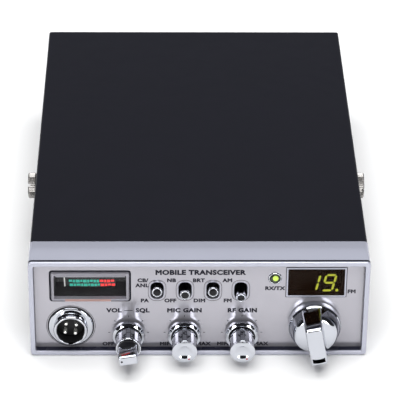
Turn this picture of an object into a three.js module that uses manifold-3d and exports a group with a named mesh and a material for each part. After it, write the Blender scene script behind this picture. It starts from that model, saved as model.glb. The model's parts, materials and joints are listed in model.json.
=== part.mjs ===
// A mobile transceiver for a vehicle: steel case, silver front bezel, controls, meter, display, sockets
// and the parts inside. Millimetres. X to the right, Y to the back, Z up. The sizes below are written with
// Y = 0 at the bezel's front rim; the exported group is shifted so that its origin is at the centre of
// the bottom of the whole object.

import * as THREE from 'three';
import { mergeVertices } from 'three/addons/utils/BufferGeometryUtils.js';
import Module from 'manifold-3d';

const wasm = await Module();
wasm.setup();

// ---------------------------------------------------------------- driving dimensions

const GAP = 0.3; // clearance between touching pieces

// Case: a bezel in front, two folded covers behind it, and a chassis frame inside them.
const BEZEL = { width: 157, height: 51.5, depth: 18.6, edge: 0.6, corner: 2, ledge: 3.7 };
const RECESS = { halfWidth: 76.2, bottom: 2.1, top: 49.4 };
const POCKET = { halfWidth: 76.9, bottom: 1.3, top: 50.2 };
const COVER = { width: 156.6, top: 51, thickness: 1, bend: 1.5, front: BEZEL.depth + GAP, rear: 230 };
const SEAM_Z = 25.8; // the two covers meet at half height
const PANEL = { front: 4, thickness: 1.5, halfWidth: 76.5, bottom: 1.7, top: 49.9 };
const CHASSIS = { halfWidth: 76.5, bottom: 1.6, top: 49.7, sheet: 1.2, front: 5.8, rear: 229.5 };
const WALL = { front: 13, rear: 14.2 }; // chassis cross wall that carries the controls

// Side bosses and the thumb screws that hold the mounting bracket.
const BOSS = { y: 111, radius: 4.5, notch: 4.8, bore: 2.6, inner: 69.8, boreEnd: 70.8, outer: 78.2 };
const WASHER = { radius: 6.4, bore: 2.8, thickness: 1.4 };
const THUMB_SCREW = { head: 6.4, headLength: 4, shank: 2.3, tip: 71.2, slotWidth: 1.4, slotDepth: 1.2 };

// Small screws that hold the covers, on each side of the case.
const CASE_SCREW = { head: 2.8, headLength: 0.6, shank: 1.2, hole: 1.6, tip: 72 };
const TOP_SCREWS = [{ end: 'front', y: 45, z: 38 }, { end: 'rear', y: 205, z: 38 }];
const BOTTOM_SCREW = { y: 205, z: 13 };

// Controls on the front panel: axis positions.
const VOLUME = { x: -32.7, z: 10.3, pointer: -100 };
const MIC_GAIN = { x: -6.7, z: 10.3 };
const RF_GAIN = { x: 20.1, z: 10.3 };
const CHANNEL = { x: 53.9, z: 15.8, pointer: 169.3 };
const KNOB_REAR = 2.5; // knobs stand 1.5 mm off the panel
const KNOB_BORE = 3.3;
const FLANGE_END = -0.5; // front of the flange of each ribbed knob
const GAIN_KNOB = { flange: 7.75, body: 5.75, bodyEnd: -11.4, front: -12.6, boreEnd: -8.8 };
const SQUELCH_KNOB = { flange: 7.5, body: 5.9, front: -9.7, recess: 5.15, floor: -7.3 };
const VOLUME_KNOB = { disc: 4.8, rear: -7.6, discEnd: -10.2, front: -19.3, bore: 2.2 };
const VOLUME_BLADE = { width: 8.7, thickness: 5 };
const VOLUME_SOCKET = 3; // solid length in front of the blade's bore
const CHANNEL_KNOB = { skirt: 12.2, rear: 3.4, skirtEnd: -0.5, cone: 9.5, coneEnd: -7.5 };
const HANDLE = { length: 20, width: 7.6, footLength: 22, footWidth: 9.4, front: -17, boreEnd: -12.3 };
const RIBS = 18;
const SHAFT_RADIUS = 3;
const POT = { radius: 7.5, front: 14.5, rear: 23, bushing: 4.5, bushingFront: 8, bore: 3.3, boreEnd: 21.5 };
const DUAL_POT_REAR = 30;

// Four toggle switches in a row: rest angles are degrees downwards from level.
const TOGGLES = [
  { name: 'pa', x: -19.4, rest: -10 },
  { name: 'noise', x: -6.5, rest: 0 },
  { name: 'dimmer', x: 6.4, rest: -10 },
  { name: 'mode', x: 19.3, rest: 10 },
];
const TOGGLE = { z: 33.8, pivotY: 9, ball: 1.9, root: 1.5, tip: 2.5, face: 1.95, front: -0.4, chamfer: 0.45 };
const TOGGLE_HOLE = { width: 6.1, height: 9.2 };
const TOGGLE_BODY = { width: 8.4, height: 13, front: 6.2, rear: 17, slotDepth: 6, lug: 3 };

// Edgewise meter: a hub turns about an upright axis, and the pointer stands in front of a curved scale.
const METER = { left: -68.4, right: -32.2, bottom: 28.6, top: 44.1, front: 2.6, caseFront: 5.9, rear: 28 };
const METER_LENS = { front: 1.2, side: 1, bevel: 0.8 };
const METER_WALL = 1.2;
const NEEDLE = { axisX: -50.3, axisY: 23, radius: 18, rest: -42, width: 0.7, low: 32.6, high: 41.4, hub: 2 };
const SCALE = { radius: 16.5, thickness: 0.8, low: 34.3, high: 41.4, halfAngle: 48 };

// Round four-pin microphone socket.
const MIC = { x: -59.6, z: 14, flange: 10.5, shell: 8, bore: 6.6, front: -0.5, rear: 12.4, keyWidth: 2.2 };
const MIC_PINS = { spacing: 4.8, radius: 0.95, hole: 1.25, turn: 6, front: 1.3, rear: 15.5 };
const MIC_INSERT = { radius: 6.3, front: 5, rear: 12.1 };

// Channel display and transmit lamp.
const DISPLAY = { left: 41.1, right: 67.15, bottom: 31.15, top: 45.5, front: 3.6, rear: 6 };
const LAMP = { x: 35, z: 40.6, radius: 2.5, collar: 2.75, dome: 1.9 };

// Rear sockets, all on one height.
const SOCKET_Z = 25.8;
const REAR_FACE = CHASSIS.rear + GAP;
const ANTENNA = { x: 48, square: 25.4, plate: 1.6, thread: 7.9, neck: 7, bore: 5.9, end: 244.5, inner: 222 };
const ANTENNA_CORE = { radius: 5.6, front: 242.5, contact: 2, contactEnd: 230, rear: 221 };
const POWER = { x: -45, width: 26, height: 16, plate: 1.8, body: [22, 12], cavity: [19, 9], inner: 218 };
const POWER_PINS = { spacing: 6, size: 1.6, tip: 226.8, floor: 221 };
const JACKS = { external_speaker_jack: 22, pa_speaker_jack: 2 };
const JACK = { nut: 4.2, nutLength: 2.5, bushing: 3.2, bore: 1.8, body: 9, inner: 214, boreEnd: 217 };

// Inside.
const BOARD = { halfWidth: 69.5, front: 34, rear: 213, bottom: 20.9, thickness: 1.6 };
const BOARD_LEDGE = { inner: 66, z: 19.4, fronts: [40, 175], length: 26 };
const SPEAKER = { y: 125, slotLength: 58, slotWidth: 3, slotPitch: 7, slots: 9 };
const TRANSFORMER = { x: 38, y: 188, core: [30, 22, 18], coil: [20, 28, 14] };
const HEAT = { wall: -75, plate: 2.4, front: 150, length: 52, bottom: 27, top: 47, foot: 9 };

const FRONTMOST = VOLUME_KNOB.front;
const REARMOST = ANTENNA.end;

// ---------------------------------------------------------------- materials

const material = (color, roughness, metalness, extra = {}) =>
  new THREE.MeshStandardMaterial({ color, roughness, metalness, ...extra });

const MATERIALS = {
  blackPaint: material(0x232329, 0.45, 0.1),
  silverPaint: material(0xb8bac8, 0.35, 0.35),
  panelSilver: material(0xb4b4bb, 0.45, 0.3),
  chrome: material(0xd4d5dc, 0.08, 1),
  steel: material(0x9a9ca0, 0.35, 0.9),
  blackSteel: material(0x18181a, 0.4, 0.6),
  rubber: material(0x141414, 0.9, 0),
  blackPlastic: material(0x121214, 0.5, 0),
  greyPlastic: material(0x6a6a6c, 0.55, 0),
  clearPlastic: material(0xd8d8e4, 0.08, 0, { transparent: true, opacity: 0.35 }),
  darkFilter: material(0x22140e, 0.15, 0, { transparent: true, opacity: 0.85 }),
  scaleCard: material(0xe8e8e0, 0.6, 0),
  lampGreen: material(0xb4e638, 0.3, 0),
  whitePlastic: material(0xf0efe8, 0.45, 0),
  circuitBoard: material(0x1d5a35, 0.6, 0),
  ferrite: material(0x33302e, 0.6, 0.4),
  paper: material(0x262422, 0.95, 0),
  aluminium: material(0xb9bcc0, 0.4, 0.9),
};

// ---------------------------------------------------------------- shapes and solids

const degrees = THREE.MathUtils.degToRad;
const span = (from, to) => ({ size: to - from, middle: (from + to) / 2 });

// Volume under the triangles: negative when the faces point inwards.
function signedVolume(positions, triangles) {
  const corner = [new THREE.Vector3(), new THREE.Vector3(), new THREE.Vector3()];
  let volume = 0;
  for (let i = 0; i < triangles.length; i += 3) {
    corner.forEach((point, k) => point.fromArray(positions, 3 * triangles[i + k]));
    volume += corner[0].dot(corner[1].cross(corner[2])) / 6;
  }
  return volume;
}

// A closed three.js geometry as a solid that can be joined and cut.
function solid(geometry) {
  geometry.deleteAttribute('normal');
  geometry.deleteAttribute('uv');
  const merged = mergeVertices(geometry, 1e-4);
  const positions = merged.attributes.position.array;
  const triangles = [];
  for (let i = 0; i < merged.index.count; i += 3) {
    const [a, b, c] = [0, 1, 2].map((k) => merged.index.array[i + k]);
    if (a !== b && b !== c && c !== a) {
      triangles.push(a, b, c);
    }
  }
  if (signedVolume(positions, triangles) < 0) {
    triangles.reverse();
  }
  const mesh = new wasm.Mesh({
    numProp: 3,
    vertProperties: new Float32Array(positions),
    triVerts: new Uint32Array(triangles),
  });
  return new wasm.Manifold(mesh);
}

const ordered = (a, b) => [Math.min(a, b), Math.max(a, b)];
const around = (middle, size) => [middle - size / 2, middle + size / 2];
const join = (first, ...others) => others.reduce((whole, piece) => whole.add(piece), first);
const cut = (first, ...others) => others.reduce((rest, piece) => rest.subtract(piece), first);

function block([x0, x1], [y0, y1], [z0, z1]) {
  const [x, y, z] = [span(x0, x1), span(y0, y1), span(z0, z1)];
  return solid(new THREE.BoxGeometry(x.size, y.size, z.size).translate(x.middle, y.middle, z.middle));
}

// A body turned about a line along Y through (x, z). The profile lists [radius, y].
function turned(x, z, profile, segments = 24) {
  const points = profile.map(([radius, y]) => new THREE.Vector2(radius, y));
  return solid(new THREE.LatheGeometry(points, segments).translate(x, 0, z));
}

// The same about an upright line through (x, y). The profile lists [radius, z].
function turnedUpright(x, y, profile, segments = 28) {
  const points = profile.map(([radius, z]) => new THREE.Vector2(radius, z));
  return solid(new THREE.LatheGeometry(points, segments).rotateX(Math.PI / 2).translate(x, y, 0));
}

const rod = (x, z, radius, y0, y1, segments = 16) =>
  turned(x, z, [[0, y0], [radius, y0], [radius, y1], [0, y1]], segments);

// A round bar along X.
function crossRod(y, z, radius, x0, x1, segments = 20) {
  const x = span(...ordered(x0, x1));
  const geometry = new THREE.CylinderGeometry(radius, radius, x.size, segments);
  return solid(geometry.rotateZ(Math.PI / 2).translate(x.middle, y, z));
}

// An outline in X and Z carried along Y from y0 to y1, with an optional bevel on both ends.
function prism(shape, y0, y1, bevel = 0) {
  const geometry = new THREE.ExtrudeGeometry(shape, {
    depth: y1 - y0 - 2 * bevel,
    curveSegments: 2,
    bevelEnabled: bevel > 0,
    bevelThickness: bevel,
    bevelSize: bevel,
    bevelOffset: -bevel,
    bevelSegments: 1,
  });
  return solid(geometry.rotateX(Math.PI / 2).translate(0, y1 - bevel, 0));
}

// A rectangle centred on (x, z) with rounded corners.
function roundedRectangle(x, z, width, height, radius) {
  const [left, right, low, high] = [x - width / 2, x + width / 2, z - height / 2, z + height / 2];
  const shape = new THREE.Shape();
  shape.moveTo(left + radius, low);
  shape.lineTo(right - radius, low);
  shape.absarc(right - radius, low + radius, radius, -Math.PI / 2, 0);
  shape.lineTo(right, high - radius);
  shape.absarc(right - radius, high - radius, radius, 0, Math.PI / 2);
  shape.lineTo(left + radius, high);
  shape.absarc(left + radius, high - radius, radius, Math.PI / 2, Math.PI);
  shape.lineTo(left, low + radius);
  shape.absarc(left + radius, low + radius, radius, Math.PI, 1.5 * Math.PI);
  return shape;
}

const transceiver = new THREE.Group();
transceiver.position.y = -(FRONTMOST + REARMOST) / 2;

// Puts a finished solid into the model as a named mesh.
function place(name, body, look) {
  const mesh = body.getMesh();
  const geometry = new THREE.BufferGeometry();
  geometry.setAttribute('position', new THREE.BufferAttribute(mesh.vertProperties, 3));
  geometry.setIndex(new THREE.BufferAttribute(mesh.triVerts, 1));
  geometry.computeVertexNormals();
  const piece = new THREE.Mesh(geometry, MATERIALS[look]);
  piece.name = name;
  transceiver.add(piece);
}

// ---------------------------------------------------------------- case

function frontBezel() {
  const middle = BEZEL.height / 2;
  const outline = roundedRectangle(0, middle, BEZEL.width, BEZEL.height, BEZEL.corner);
  const opening = roundedRectangle(
    0, (RECESS.bottom + RECESS.top) / 2, 2 * RECESS.halfWidth, RECESS.top - RECESS.bottom, 1);
  const pocket = block(
    [-POCKET.halfWidth, POCKET.halfWidth], [BEZEL.ledge, BEZEL.depth + 1], [POCKET.bottom, POCKET.top]);
  const blank = prism(outline, 0, BEZEL.depth, BEZEL.edge);
  place('front_bezel', cut(blank, prism(opening, -1, BEZEL.ledge + 1), pocket), 'silverPaint');
}

// The holes that the front panel needs for everything that looks or passes through it.
function panelHoles() {
  const holes = TOGGLES.map(({ x }) => {
    const { width, height } = TOGGLE_HOLE;
    return prism(roundedRectangle(x, TOGGLE.z, width, height, width / 2 - 0.05), 0, 10);
  });
  for (const window of [METER, DISPLAY]) {
    const across = [window.left - GAP, window.right + GAP];
    holes.push(block(across, [0, 10], [window.bottom - GAP, window.top + GAP]));
  }
  for (const { x, z } of [VOLUME, MIC_GAIN, RF_GAIN, CHANNEL]) {
    holes.push(rod(x, z, SHAFT_RADIUS + 1, 0, 10));
  }
  holes.push(rod(MIC.x, MIC.z, MIC.shell + GAP, 0, 10), rod(LAMP.x, LAMP.z, LAMP.radius + GAP, 0, 10));
  return holes;
}

function frontPanel() {
  const rear = PANEL.front + PANEL.thickness;
  const plate = block([-PANEL.halfWidth, PANEL.halfWidth], [PANEL.front, rear], [PANEL.bottom, PANEL.top]);
  place('front_panel', cut(plate, ...panelHoles()), 'panelSilver');
}

// Openings in the cross wall behind the panel.
function wallHoles() {
  const depth = [WALL.front - 1, WALL.rear + 1];
  const controls = [VOLUME, MIC_GAIN, RF_GAIN, CHANNEL];
  const holes = controls.map(({ x, z }) => rod(x, z, POT.bushing + GAP, ...depth));
  const { width, height } = TOGGLE_BODY;
  for (const { x } of TOGGLES) {
    holes.push(block(around(x, width + 2 * GAP), depth, around(TOGGLE.z, height + 2 * GAP)));
  }
  holes.push(block([METER.left, METER.right], depth, [METER.bottom, METER.top]));
  holes.push(rod(MIC.x, MIC.z, MIC.bore, ...depth));
  return holes;
}

function rearHoles() {
  const depth = [CHASSIS.rear - CHASSIS.sheet - 1, CHASSIS.rear + 1];
  const [width, height] = POWER.body;
  const holes = [rod(ANTENNA.x, SOCKET_Z, ANTENNA.neck + GAP, ...depth)];
  holes.push(block(around(POWER.x, width + 2 * GAP), depth, around(SOCKET_Z, height + 2 * GAP)));
  for (const x of Object.values(JACKS)) {
    holes.push(rod(x, SOCKET_Z, JACK.bushing + GAP, ...depth));
  }
  return holes;
}

// A ring of sheet steel with a cross wall, a blind bush on each side for the bracket screws, and ledges
// for the circuit board.
function chassisFrame() {
  const { halfWidth, bottom, top, sheet, front, rear } = CHASSIS;
  const height = [bottom, top];
  let frame = join(
    block([-halfWidth, -halfWidth + sheet], [front, rear], height),
    block([halfWidth - sheet, halfWidth], [front, rear], height),
    block([-halfWidth, halfWidth], [WALL.front, WALL.rear], height),
    block([-halfWidth, halfWidth], [rear - sheet, rear], height));
  const ledgeHeight = [BOARD_LEDGE.z, BOARD_LEDGE.z + sheet];
  for (const side of [-1, 1]) {
    frame = join(frame, crossRod(BOSS.y, SEAM_Z, BOSS.radius, side * BOSS.inner, side * BOSS.outer));
    frame = cut(frame, crossRod(BOSS.y, SEAM_Z, BOSS.bore, side * BOSS.boreEnd, side * (BOSS.outer + 1)));
    for (const y of BOARD_LEDGE.fronts) {
      const across = ordered(side * BOARD_LEDGE.inner, side * (halfWidth - sheet / 2));
      frame = join(frame, block(across, [y, y + BOARD_LEDGE.length], ledgeHeight));
    }
  }
  const screwHoles = [...TOP_SCREWS, BOTTOM_SCREW].map(screwHole);
  place('chassis_frame', cut(frame, ...wallHoles(), ...rearHoles(), ...screwHoles), 'steel');
}

// The left half of a sheet folded into a channel: a flat at flatZ and a side that ends at edgeZ.
function foldedHalf(flatZ, edgeZ) {
  const inwards = Math.sign(edgeZ - flatZ);
  const outer = { side: -COVER.width / 2, flat: flatZ, radius: COVER.bend };
  const inner = {
    side: outer.side + COVER.thickness,
    flat: flatZ + inwards * COVER.thickness,
    radius: COVER.bend - COVER.thickness,
  };
  const bendStart = (line) => line.flat + inwards * line.radius;
  const shape = new THREE.Shape();
  shape.moveTo(outer.side, edgeZ);
  shape.lineTo(outer.side, bendStart(outer));
  shape.quadraticCurveTo(outer.side, outer.flat, outer.side + outer.radius, outer.flat);
  shape.lineTo(0, outer.flat);
  shape.lineTo(0, inner.flat);
  shape.lineTo(inner.side + inner.radius, inner.flat);
  shape.quadraticCurveTo(inner.side, inner.flat, inner.side, bendStart(inner));
  shape.lineTo(inner.side, edgeZ);
  return prism(shape, COVER.front, COVER.rear);
}

// A body and its mirror image across the middle of the case, joined.
const bothSides = (body) => join(body, body.mirror([1, 0, 0]));

// A round hole through both sides of the case.
const sideHole = (y, z, radius, segments = 12) =>
  crossRod(y, z, radius, -COVER.width / 2 - 2, COVER.width / 2 + 2, segments);

const screwHole = ({ y, z }) => sideHole(y, z, CASE_SCREW.hole);

function covers() {
  const notch = sideHole(BOSS.y, SEAM_Z, BOSS.notch, 24);
  const topHalf = cut(foldedHalf(COVER.top, SEAM_Z + GAP / 2), notch, ...TOP_SCREWS.map(screwHole));
  place('top_cover', bothSides(topHalf), 'blackPaint');

  const bottomHalf = cut(foldedHalf(0, SEAM_Z - GAP / 2), notch, screwHole(BOTTOM_SCREW));
  let bottom = bothSides(bottomHalf);
  for (let i = 0; i < SPEAKER.slots; i += 1) {
    const offset = (i - (SPEAKER.slots - 1) / 2) * SPEAKER.slotPitch;
    const half = Math.sqrt((SPEAKER.slotLength / 2) ** 2 - (0.8 * offset) ** 2);
    const across = around(SPEAKER.y + offset, SPEAKER.slotWidth);
    bottom = cut(bottom, block([-half, half], across, [-1, COVER.thickness + 1]));
  }
  place('bottom_cover', bottom, 'blackPaint');
}

// A screw that enters the side of the case: head outside, shank through cover and chassis.
function sideScrew(side, y, z, start, { head, headLength, shank, tip }) {
  return join(
    crossRod(y, z, head, side * start, side * (start + headLength)),
    crossRod(y, z, shank, side * tip, side * (start + 0.1), 16));
}

function caseScrews() {
  const start = COVER.width / 2 + GAP;
  for (const [label, side] of [['left', -1], ['right', 1]]) {
    for (const { end, y, z } of TOP_SCREWS) {
      place(`top_cover_screw_${label}_${end}`, sideScrew(side, y, z, start, CASE_SCREW), 'blackSteel');
    }
    const { y, z } = BOTTOM_SCREW;
    place(`bottom_cover_screw_${label}`, sideScrew(side, y, z, start, CASE_SCREW), 'blackSteel');
  }
}

function thumbScrews() {
  const washerStart = COVER.width / 2 + GAP;
  const washerEnd = washerStart + WASHER.thickness;
  const headStart = washerEnd + GAP;
  const outer = headStart + THUMB_SCREW.headLength;
  const { head, slotWidth, slotDepth } = THUMB_SCREW;
  for (const [label, side] of [['left', -1], ['right', 1]]) {
    const washer = cut(
      crossRod(BOSS.y, SEAM_Z, WASHER.radius, side * washerStart, side * washerEnd, 28),
      crossRod(BOSS.y, SEAM_Z, WASHER.bore, side * (washerStart - 1), side * headStart));
    place(`washer_${label}`, washer, 'rubber');
    const screw = sideScrew(side, BOSS.y, SEAM_Z, headStart, THUMB_SCREW);
    const slotAcross = ordered(side * (outer - slotDepth), side * (outer + 1));
    const slot = block(slotAcross, around(BOSS.y, slotWidth), around(SEAM_Z, 2 * head + 1));
    place(`thumb_screw_${label}`, cut(screw, slot), 'blackSteel');
  }
}

// ---------------------------------------------------------------- knobs, shafts and pots

// A bar with pointed ribs all round, from y0 to y1.
function ribbedBar(x, z, radius, y0, y1) {
  const points = [];
  for (let i = 0; i < 2 * RIBS; i += 1) {
    const angle = (i / RIBS) * Math.PI;
    const reach = i % 2 === 0 ? radius : radius - 0.5;
    points.push(new THREE.Vector2(x + reach * Math.sin(angle), z + reach * Math.cos(angle)));
  }
  return prism(new THREE.Shape(points), y0, y1);
}

function knobFlange(x, z, radius) {
  const chamfer = 0.5;
  return turned(x, z, [[0, KNOB_REAR], [radius, KNOB_REAR], [radius, FLANGE_END + chamfer],
    [radius - chamfer, FLANGE_END], [0, FLANGE_END]], 32);
}

// A flange, a ribbed body and a chamfered cap with a dished face.
function gainKnob(name, { x, z }) {
  const { flange, body, bodyEnd, front, boreEnd } = GAIN_KNOB;
  const rim = body + 0.1;
  const cap = turned(x, z, [[0, bodyEnd + 0.1], [rim, bodyEnd + 0.1], [rim, bodyEnd - 0.5],
    [body - 0.6, front], [body - 1.4, front], [0, front + 0.6]], 32);
  const knob = join(knobFlange(x, z, flange), ribbedBar(x, z, body, bodyEnd, FLANGE_END + 0.1), cap);
  place(name, cut(knob, rod(x, z, KNOB_BORE, boreEnd, KNOB_REAR + 1)), 'chrome');
}

function squelchKnob() {
  const { x, z } = VOLUME;
  const { flange, body, front, recess, floor } = SQUELCH_KNOB;
  const knob = join(knobFlange(x, z, flange), ribbedBar(x, z, body, front, FLANGE_END + 0.1));
  const bore = rod(x, z, KNOB_BORE, front - 1, KNOB_REAR + 1);
  place('squelch_knob', cut(knob, bore, rod(x, z, recess, front - 1, floor, 24)), 'chrome');
}

function volumeKnob() {
  const { x, z, pointer } = VOLUME;
  const { disc, rear, discEnd, front, bore } = VOLUME_KNOB;
  const outline = roundedRectangle(0, 0, VOLUME_BLADE.thickness, VOLUME_BLADE.width, 0.8);
  const blade = prism(outline, front, discEnd + 0.1, 0.5);
  const knob = join(rod(x, z, disc, discEnd, rear, 28), blade.rotate([0, pointer, 0]).translate([x, 0, z]));
  place('volume_knob', cut(knob, rod(x, z, bore, front + VOLUME_SOCKET, rear + 1)), 'chrome');
}

// A skirt, a conical face, and a finger bar that narrows towards its front.
function channelKnob() {
  const { x, z, pointer } = CHANNEL;
  const { skirt, rear, skirtEnd, cone, coneEnd } = CHANNEL_KNOB;
  const base = turned(0, 0, [[0, rear], [skirt, rear], [skirt, skirtEnd + 0.4], [skirt - 0.4, skirtEnd],
    [cone, coneEnd], [0, coneEnd - 0.4]], 40);
  const bar = new THREE.BoxGeometry(1, 1, 1);
  const corners = bar.attributes.position;
  for (let i = 0; i < corners.count; i += 1) {
    const atFoot = corners.getY(i) > 0;
    const width = atFoot ? HANDLE.footWidth : HANDLE.width;
    const length = atFoot ? HANDLE.footLength : HANDLE.length;
    const y = atFoot ? skirtEnd - 0.5 : HANDLE.front;
    corners.setXYZ(i, corners.getX(i) * width, y, corners.getZ(i) * length);
  }
  const knob = join(base, solid(bar)).rotate([0, pointer, 0]).translate([x, 0, z]);
  place('channel_knob', cut(knob, rod(x, z, KNOB_BORE, HANDLE.boreEnd, rear + 1)), 'chrome');
}

// A solid shaft from inside its knob, where it ends at front, to inside its control.
function shaft(name, { x, z }, front, rear = POT.boreEnd - GAP, radius = SHAFT_RADIUS) {
  place(name, rod(x, z, radius, front, rear, 20), 'steel');
}

// The volume shaft turns inside the squelch shaft, which is a tube.
function shafts() {
  const { x, z } = VOLUME;
  const { bore, front } = VOLUME_KNOB;
  const tubeEnds = [SQUELCH_KNOB.floor + GAP, POT.boreEnd - GAP];
  place('squelch_shaft', turned(x, z, [[bore, tubeEnds[0]], [SHAFT_RADIUS, tubeEnds[0]],
    [SHAFT_RADIUS, tubeEnds[1]], [bore, tubeEnds[1]], [bore, tubeEnds[0]]], 20), 'steel');
  shaft('volume_shaft', VOLUME, front + VOLUME_SOCKET + GAP, DUAL_POT_REAR - 2, bore - GAP);
  shaft('mic_gain_shaft', MIC_GAIN, GAIN_KNOB.boreEnd + GAP);
  shaft('rf_gain_shaft', RF_GAIN, GAIN_KNOB.boreEnd + GAP);
  shaft('channel_shaft', CHANNEL, HANDLE.boreEnd + GAP);
}

// A rotary control behind the cross wall: a can, a bushing in front and three solder lugs above.
function rotaryControl(name, { x, z }, radius, rear, look) {
  let control = join(
    rod(x, z, radius, POT.front, rear, 24),
    rod(x, z, POT.bushing, POT.bushingFront, POT.front + 0.1));
  for (const offset of [-4, 0, 4]) {
    const lug = block(around(x + offset, 1.5), [POT.front + 1, POT.front + 1.8], [z, z + radius + 4]);
    control = join(control, lug);
  }
  control = cut(control, rod(x, z, POT.bore, POT.bushingFront - 1, POT.boreEnd));
  if (rear === DUAL_POT_REAR) {
    control = cut(control, rod(x, z, VOLUME_KNOB.bore, POT.boreEnd - 1, DUAL_POT_REAR - 1.5));
  }
  place(name, control, look);
}

// ---------------------------------------------------------------- toggle switches

// The lever's ball sits in the body's slot; the lever widens towards its flat end.
function toggleLever({ x, rest }) {
  const { z, pivotY, ball, root, tip, face, front, chamfer } = TOGGLE;
  const end = front - pivotY;
  const lever = turned(0, 0, [[0, ball], [0.75 * ball, 0.66 * ball], [ball, 0], [root, -0.75 * ball],
    [root, -2.6], [tip, end + chamfer], [face, end], [0, end]], 16);
  return lever.rotate([rest, 0, 0]).translate([x, pivotY, z]);
}

function toggleSwitch({ x }) {
  const { width, height, front, rear, slotDepth, lug } = TOGGLE_BODY;
  const { z } = TOGGLE;
  const slot = block(around(x, 5.6), [front - 1, front + slotDepth], around(z, 9.8));
  let body = cut(block(around(x, width), [front, rear], around(z, height)), slot);
  for (const offset of [-4, 0, 4]) {
    body = join(body, block(around(x, 2), [rear - 0.1, rear + lug], around(z + offset, 0.8)));
  }
  return body;
}

function toggles() {
  for (const toggle of TOGGLES) {
    place(`${toggle.name}_toggle_lever`, toggleLever(toggle), 'chrome');
    place(`${toggle.name}_toggle_switch`, toggleSwitch(toggle), 'blackPlastic');
  }
}

// ---------------------------------------------------------------- meter

function meterLens() {
  const { left, right, bottom, top, front, caseFront } = METER;
  const { front: face, side, bevel } = METER_LENS;
  const outline = roundedRectangle((left + right) / 2, (bottom + top) / 2, right - left, top - bottom, 1);
  const outer = prism(outline, front, caseFront + bevel, bevel);
  const past = caseFront + 2;
  const hollow = block([left + side, right - side], [front + face, past], [bottom + side, top - side]);
  const end = block([left - 1, right + 1], [caseFront - GAP, past], [bottom - 1, top + 1]);
  place('meter_lens', cut(outer, hollow, end), 'clearPlastic');
}

// A box open towards the lens, with the bearing post on its floor.
function meterCase() {
  const [x, z] = [[METER.left + GAP, METER.right - GAP], [METER.bottom + GAP, METER.top - GAP]];
  const inside = ([low, high]) => [low + METER_WALL, high - METER_WALL];
  const shell = cut(block(x, [METER.caseFront, METER.rear], z),
    block(inside(x), [METER.caseFront - 1, METER.rear - METER_WALL], inside(z)));
  const post = turnedUpright(NEEDLE.axisX, NEEDLE.axisY, [[0, z[0] + 0.5], [3.2, z[0] + 0.5],
    [3.2, NEEDLE.low - 1], [1, NEEDLE.low - 0.7], [0, NEEDLE.low - 0.7]], 20);
  place('meter_case', join(shell, post), 'blackPlastic');
}

// The pointer: a hub, an arm under the scale, and an upright blade in front of it.
function meterNeedle() {
  const { hub, radius, width, low, high, axisX, axisY, rest } = NEEDLE;
  const arm = block([-width / 2, width / 2], [-radius - 0.25, 0], [low, low + 0.9]);
  const blade = block([-width / 2, width / 2], [-radius - 0.3, -radius + 0.3], [low, high]);
  const tail = block([-0.9, 0.9], [0, 3.2], [low, low + 0.9]);
  const barrel = turnedUpright(0, 0, [[0, low - 0.4], [0.6, low - 0.4], [hub, low], [hub, high - 2],
    [0.6, high - 1.6], [0, high - 1.6]], 16);
  const needle = join(barrel, arm, blade, tail).rotate([0, 0, rest]).translate([axisX, axisY, 0]);
  place('meter_needle', needle, 'blackPlastic');
}

// A card bent round the needle's axis, with an ear at each end that reaches the case.
function meterScale() {
  const { radius, thickness, low, high, halfAngle } = SCALE;
  const reach = degrees(halfAngle);
  const start = -Math.PI / 2 - reach;
  const end = -Math.PI / 2 + reach;
  const shape = new THREE.Shape();
  shape.absarc(0, 0, radius, start, end, false);
  shape.absarc(0, 0, radius - thickness, end, start, true);
  const settings = { depth: high - low, bevelEnabled: false, curveSegments: 12 };
  const geometry = new THREE.ExtrudeGeometry(shape, settings);
  let card = solid(geometry.translate(NEEDLE.axisX, NEEDLE.axisY, low));
  const earY = NEEDLE.axisY - radius * Math.cos(reach);
  for (const side of [-1, 1]) {
    const wall = side < 0 ? METER.left : METER.right;
    const inner = NEEDLE.axisX + side * (radius * Math.sin(reach) - 0.6);
    const outer = wall - side * (2 * GAP + METER_WALL);
    card = join(card, block(ordered(inner, outer), [earY, earY + thickness], [low, high]));
  }
  place('meter_scale', card, 'scaleCard');
}

// ---------------------------------------------------------------- front sockets, lamp and display

function micSocket() {
  const { x, z } = MIC;
  const flangeRear = PANEL.front - GAP;
  let shell = turned(x, z, [[MIC.bore, MIC.front], [MIC.shell - 0.4, MIC.front], [MIC.shell, MIC.front + 0.4],
    [MIC.shell, flangeRear - 1.5], [MIC.flange - 0.4, flangeRear - 1.5], [MIC.flange, flangeRear - 1.1],
    [MIC.flange, flangeRear], [MIC.shell, flangeRear], [MIC.shell, MIC.rear], [MIC.bore, MIC.rear],
    [MIC.bore, MIC.front]], 32);
  const keyDepth = 0.8;
  shell = cut(shell, block([x - MIC.keyWidth / 2, x + MIC.keyWidth / 2], [MIC.front - 1, MIC_INSERT.front],
    [z - MIC.bore - keyDepth, z - MIC.bore + 1]));
  place('mic_socket_shell', shell, 'chrome');

  const turn = degrees(MIC_PINS.turn);
  const reach = MIC_PINS.spacing / Math.SQRT2;
  const pins = [0, 1, 2, 3].map((i) => {
    const angle = turn + Math.PI / 4 + (i * Math.PI) / 2;
    return [x + reach * Math.sin(angle), z + reach * Math.cos(angle)];
  });
  const insert = rod(x, z, MIC_INSERT.radius, MIC_INSERT.front, MIC_INSERT.rear, 28);
  const holes = pins.map(([px, pz]) => rod(px, pz, MIC_PINS.hole, 0, 20, 12));
  place('mic_socket_insert', cut(insert, ...holes), 'blackPlastic');
  const { radius, front, rear } = MIC_PINS;
  pins.forEach(([px, pz], i) => {
    place(`mic_pin_${i + 1}`, turned(px, pz, [[0, front], [0.6 * radius, front], [radius, front + 0.5],
      [radius, rear], [0, rear]], 12), 'chrome');
  });
}

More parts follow.
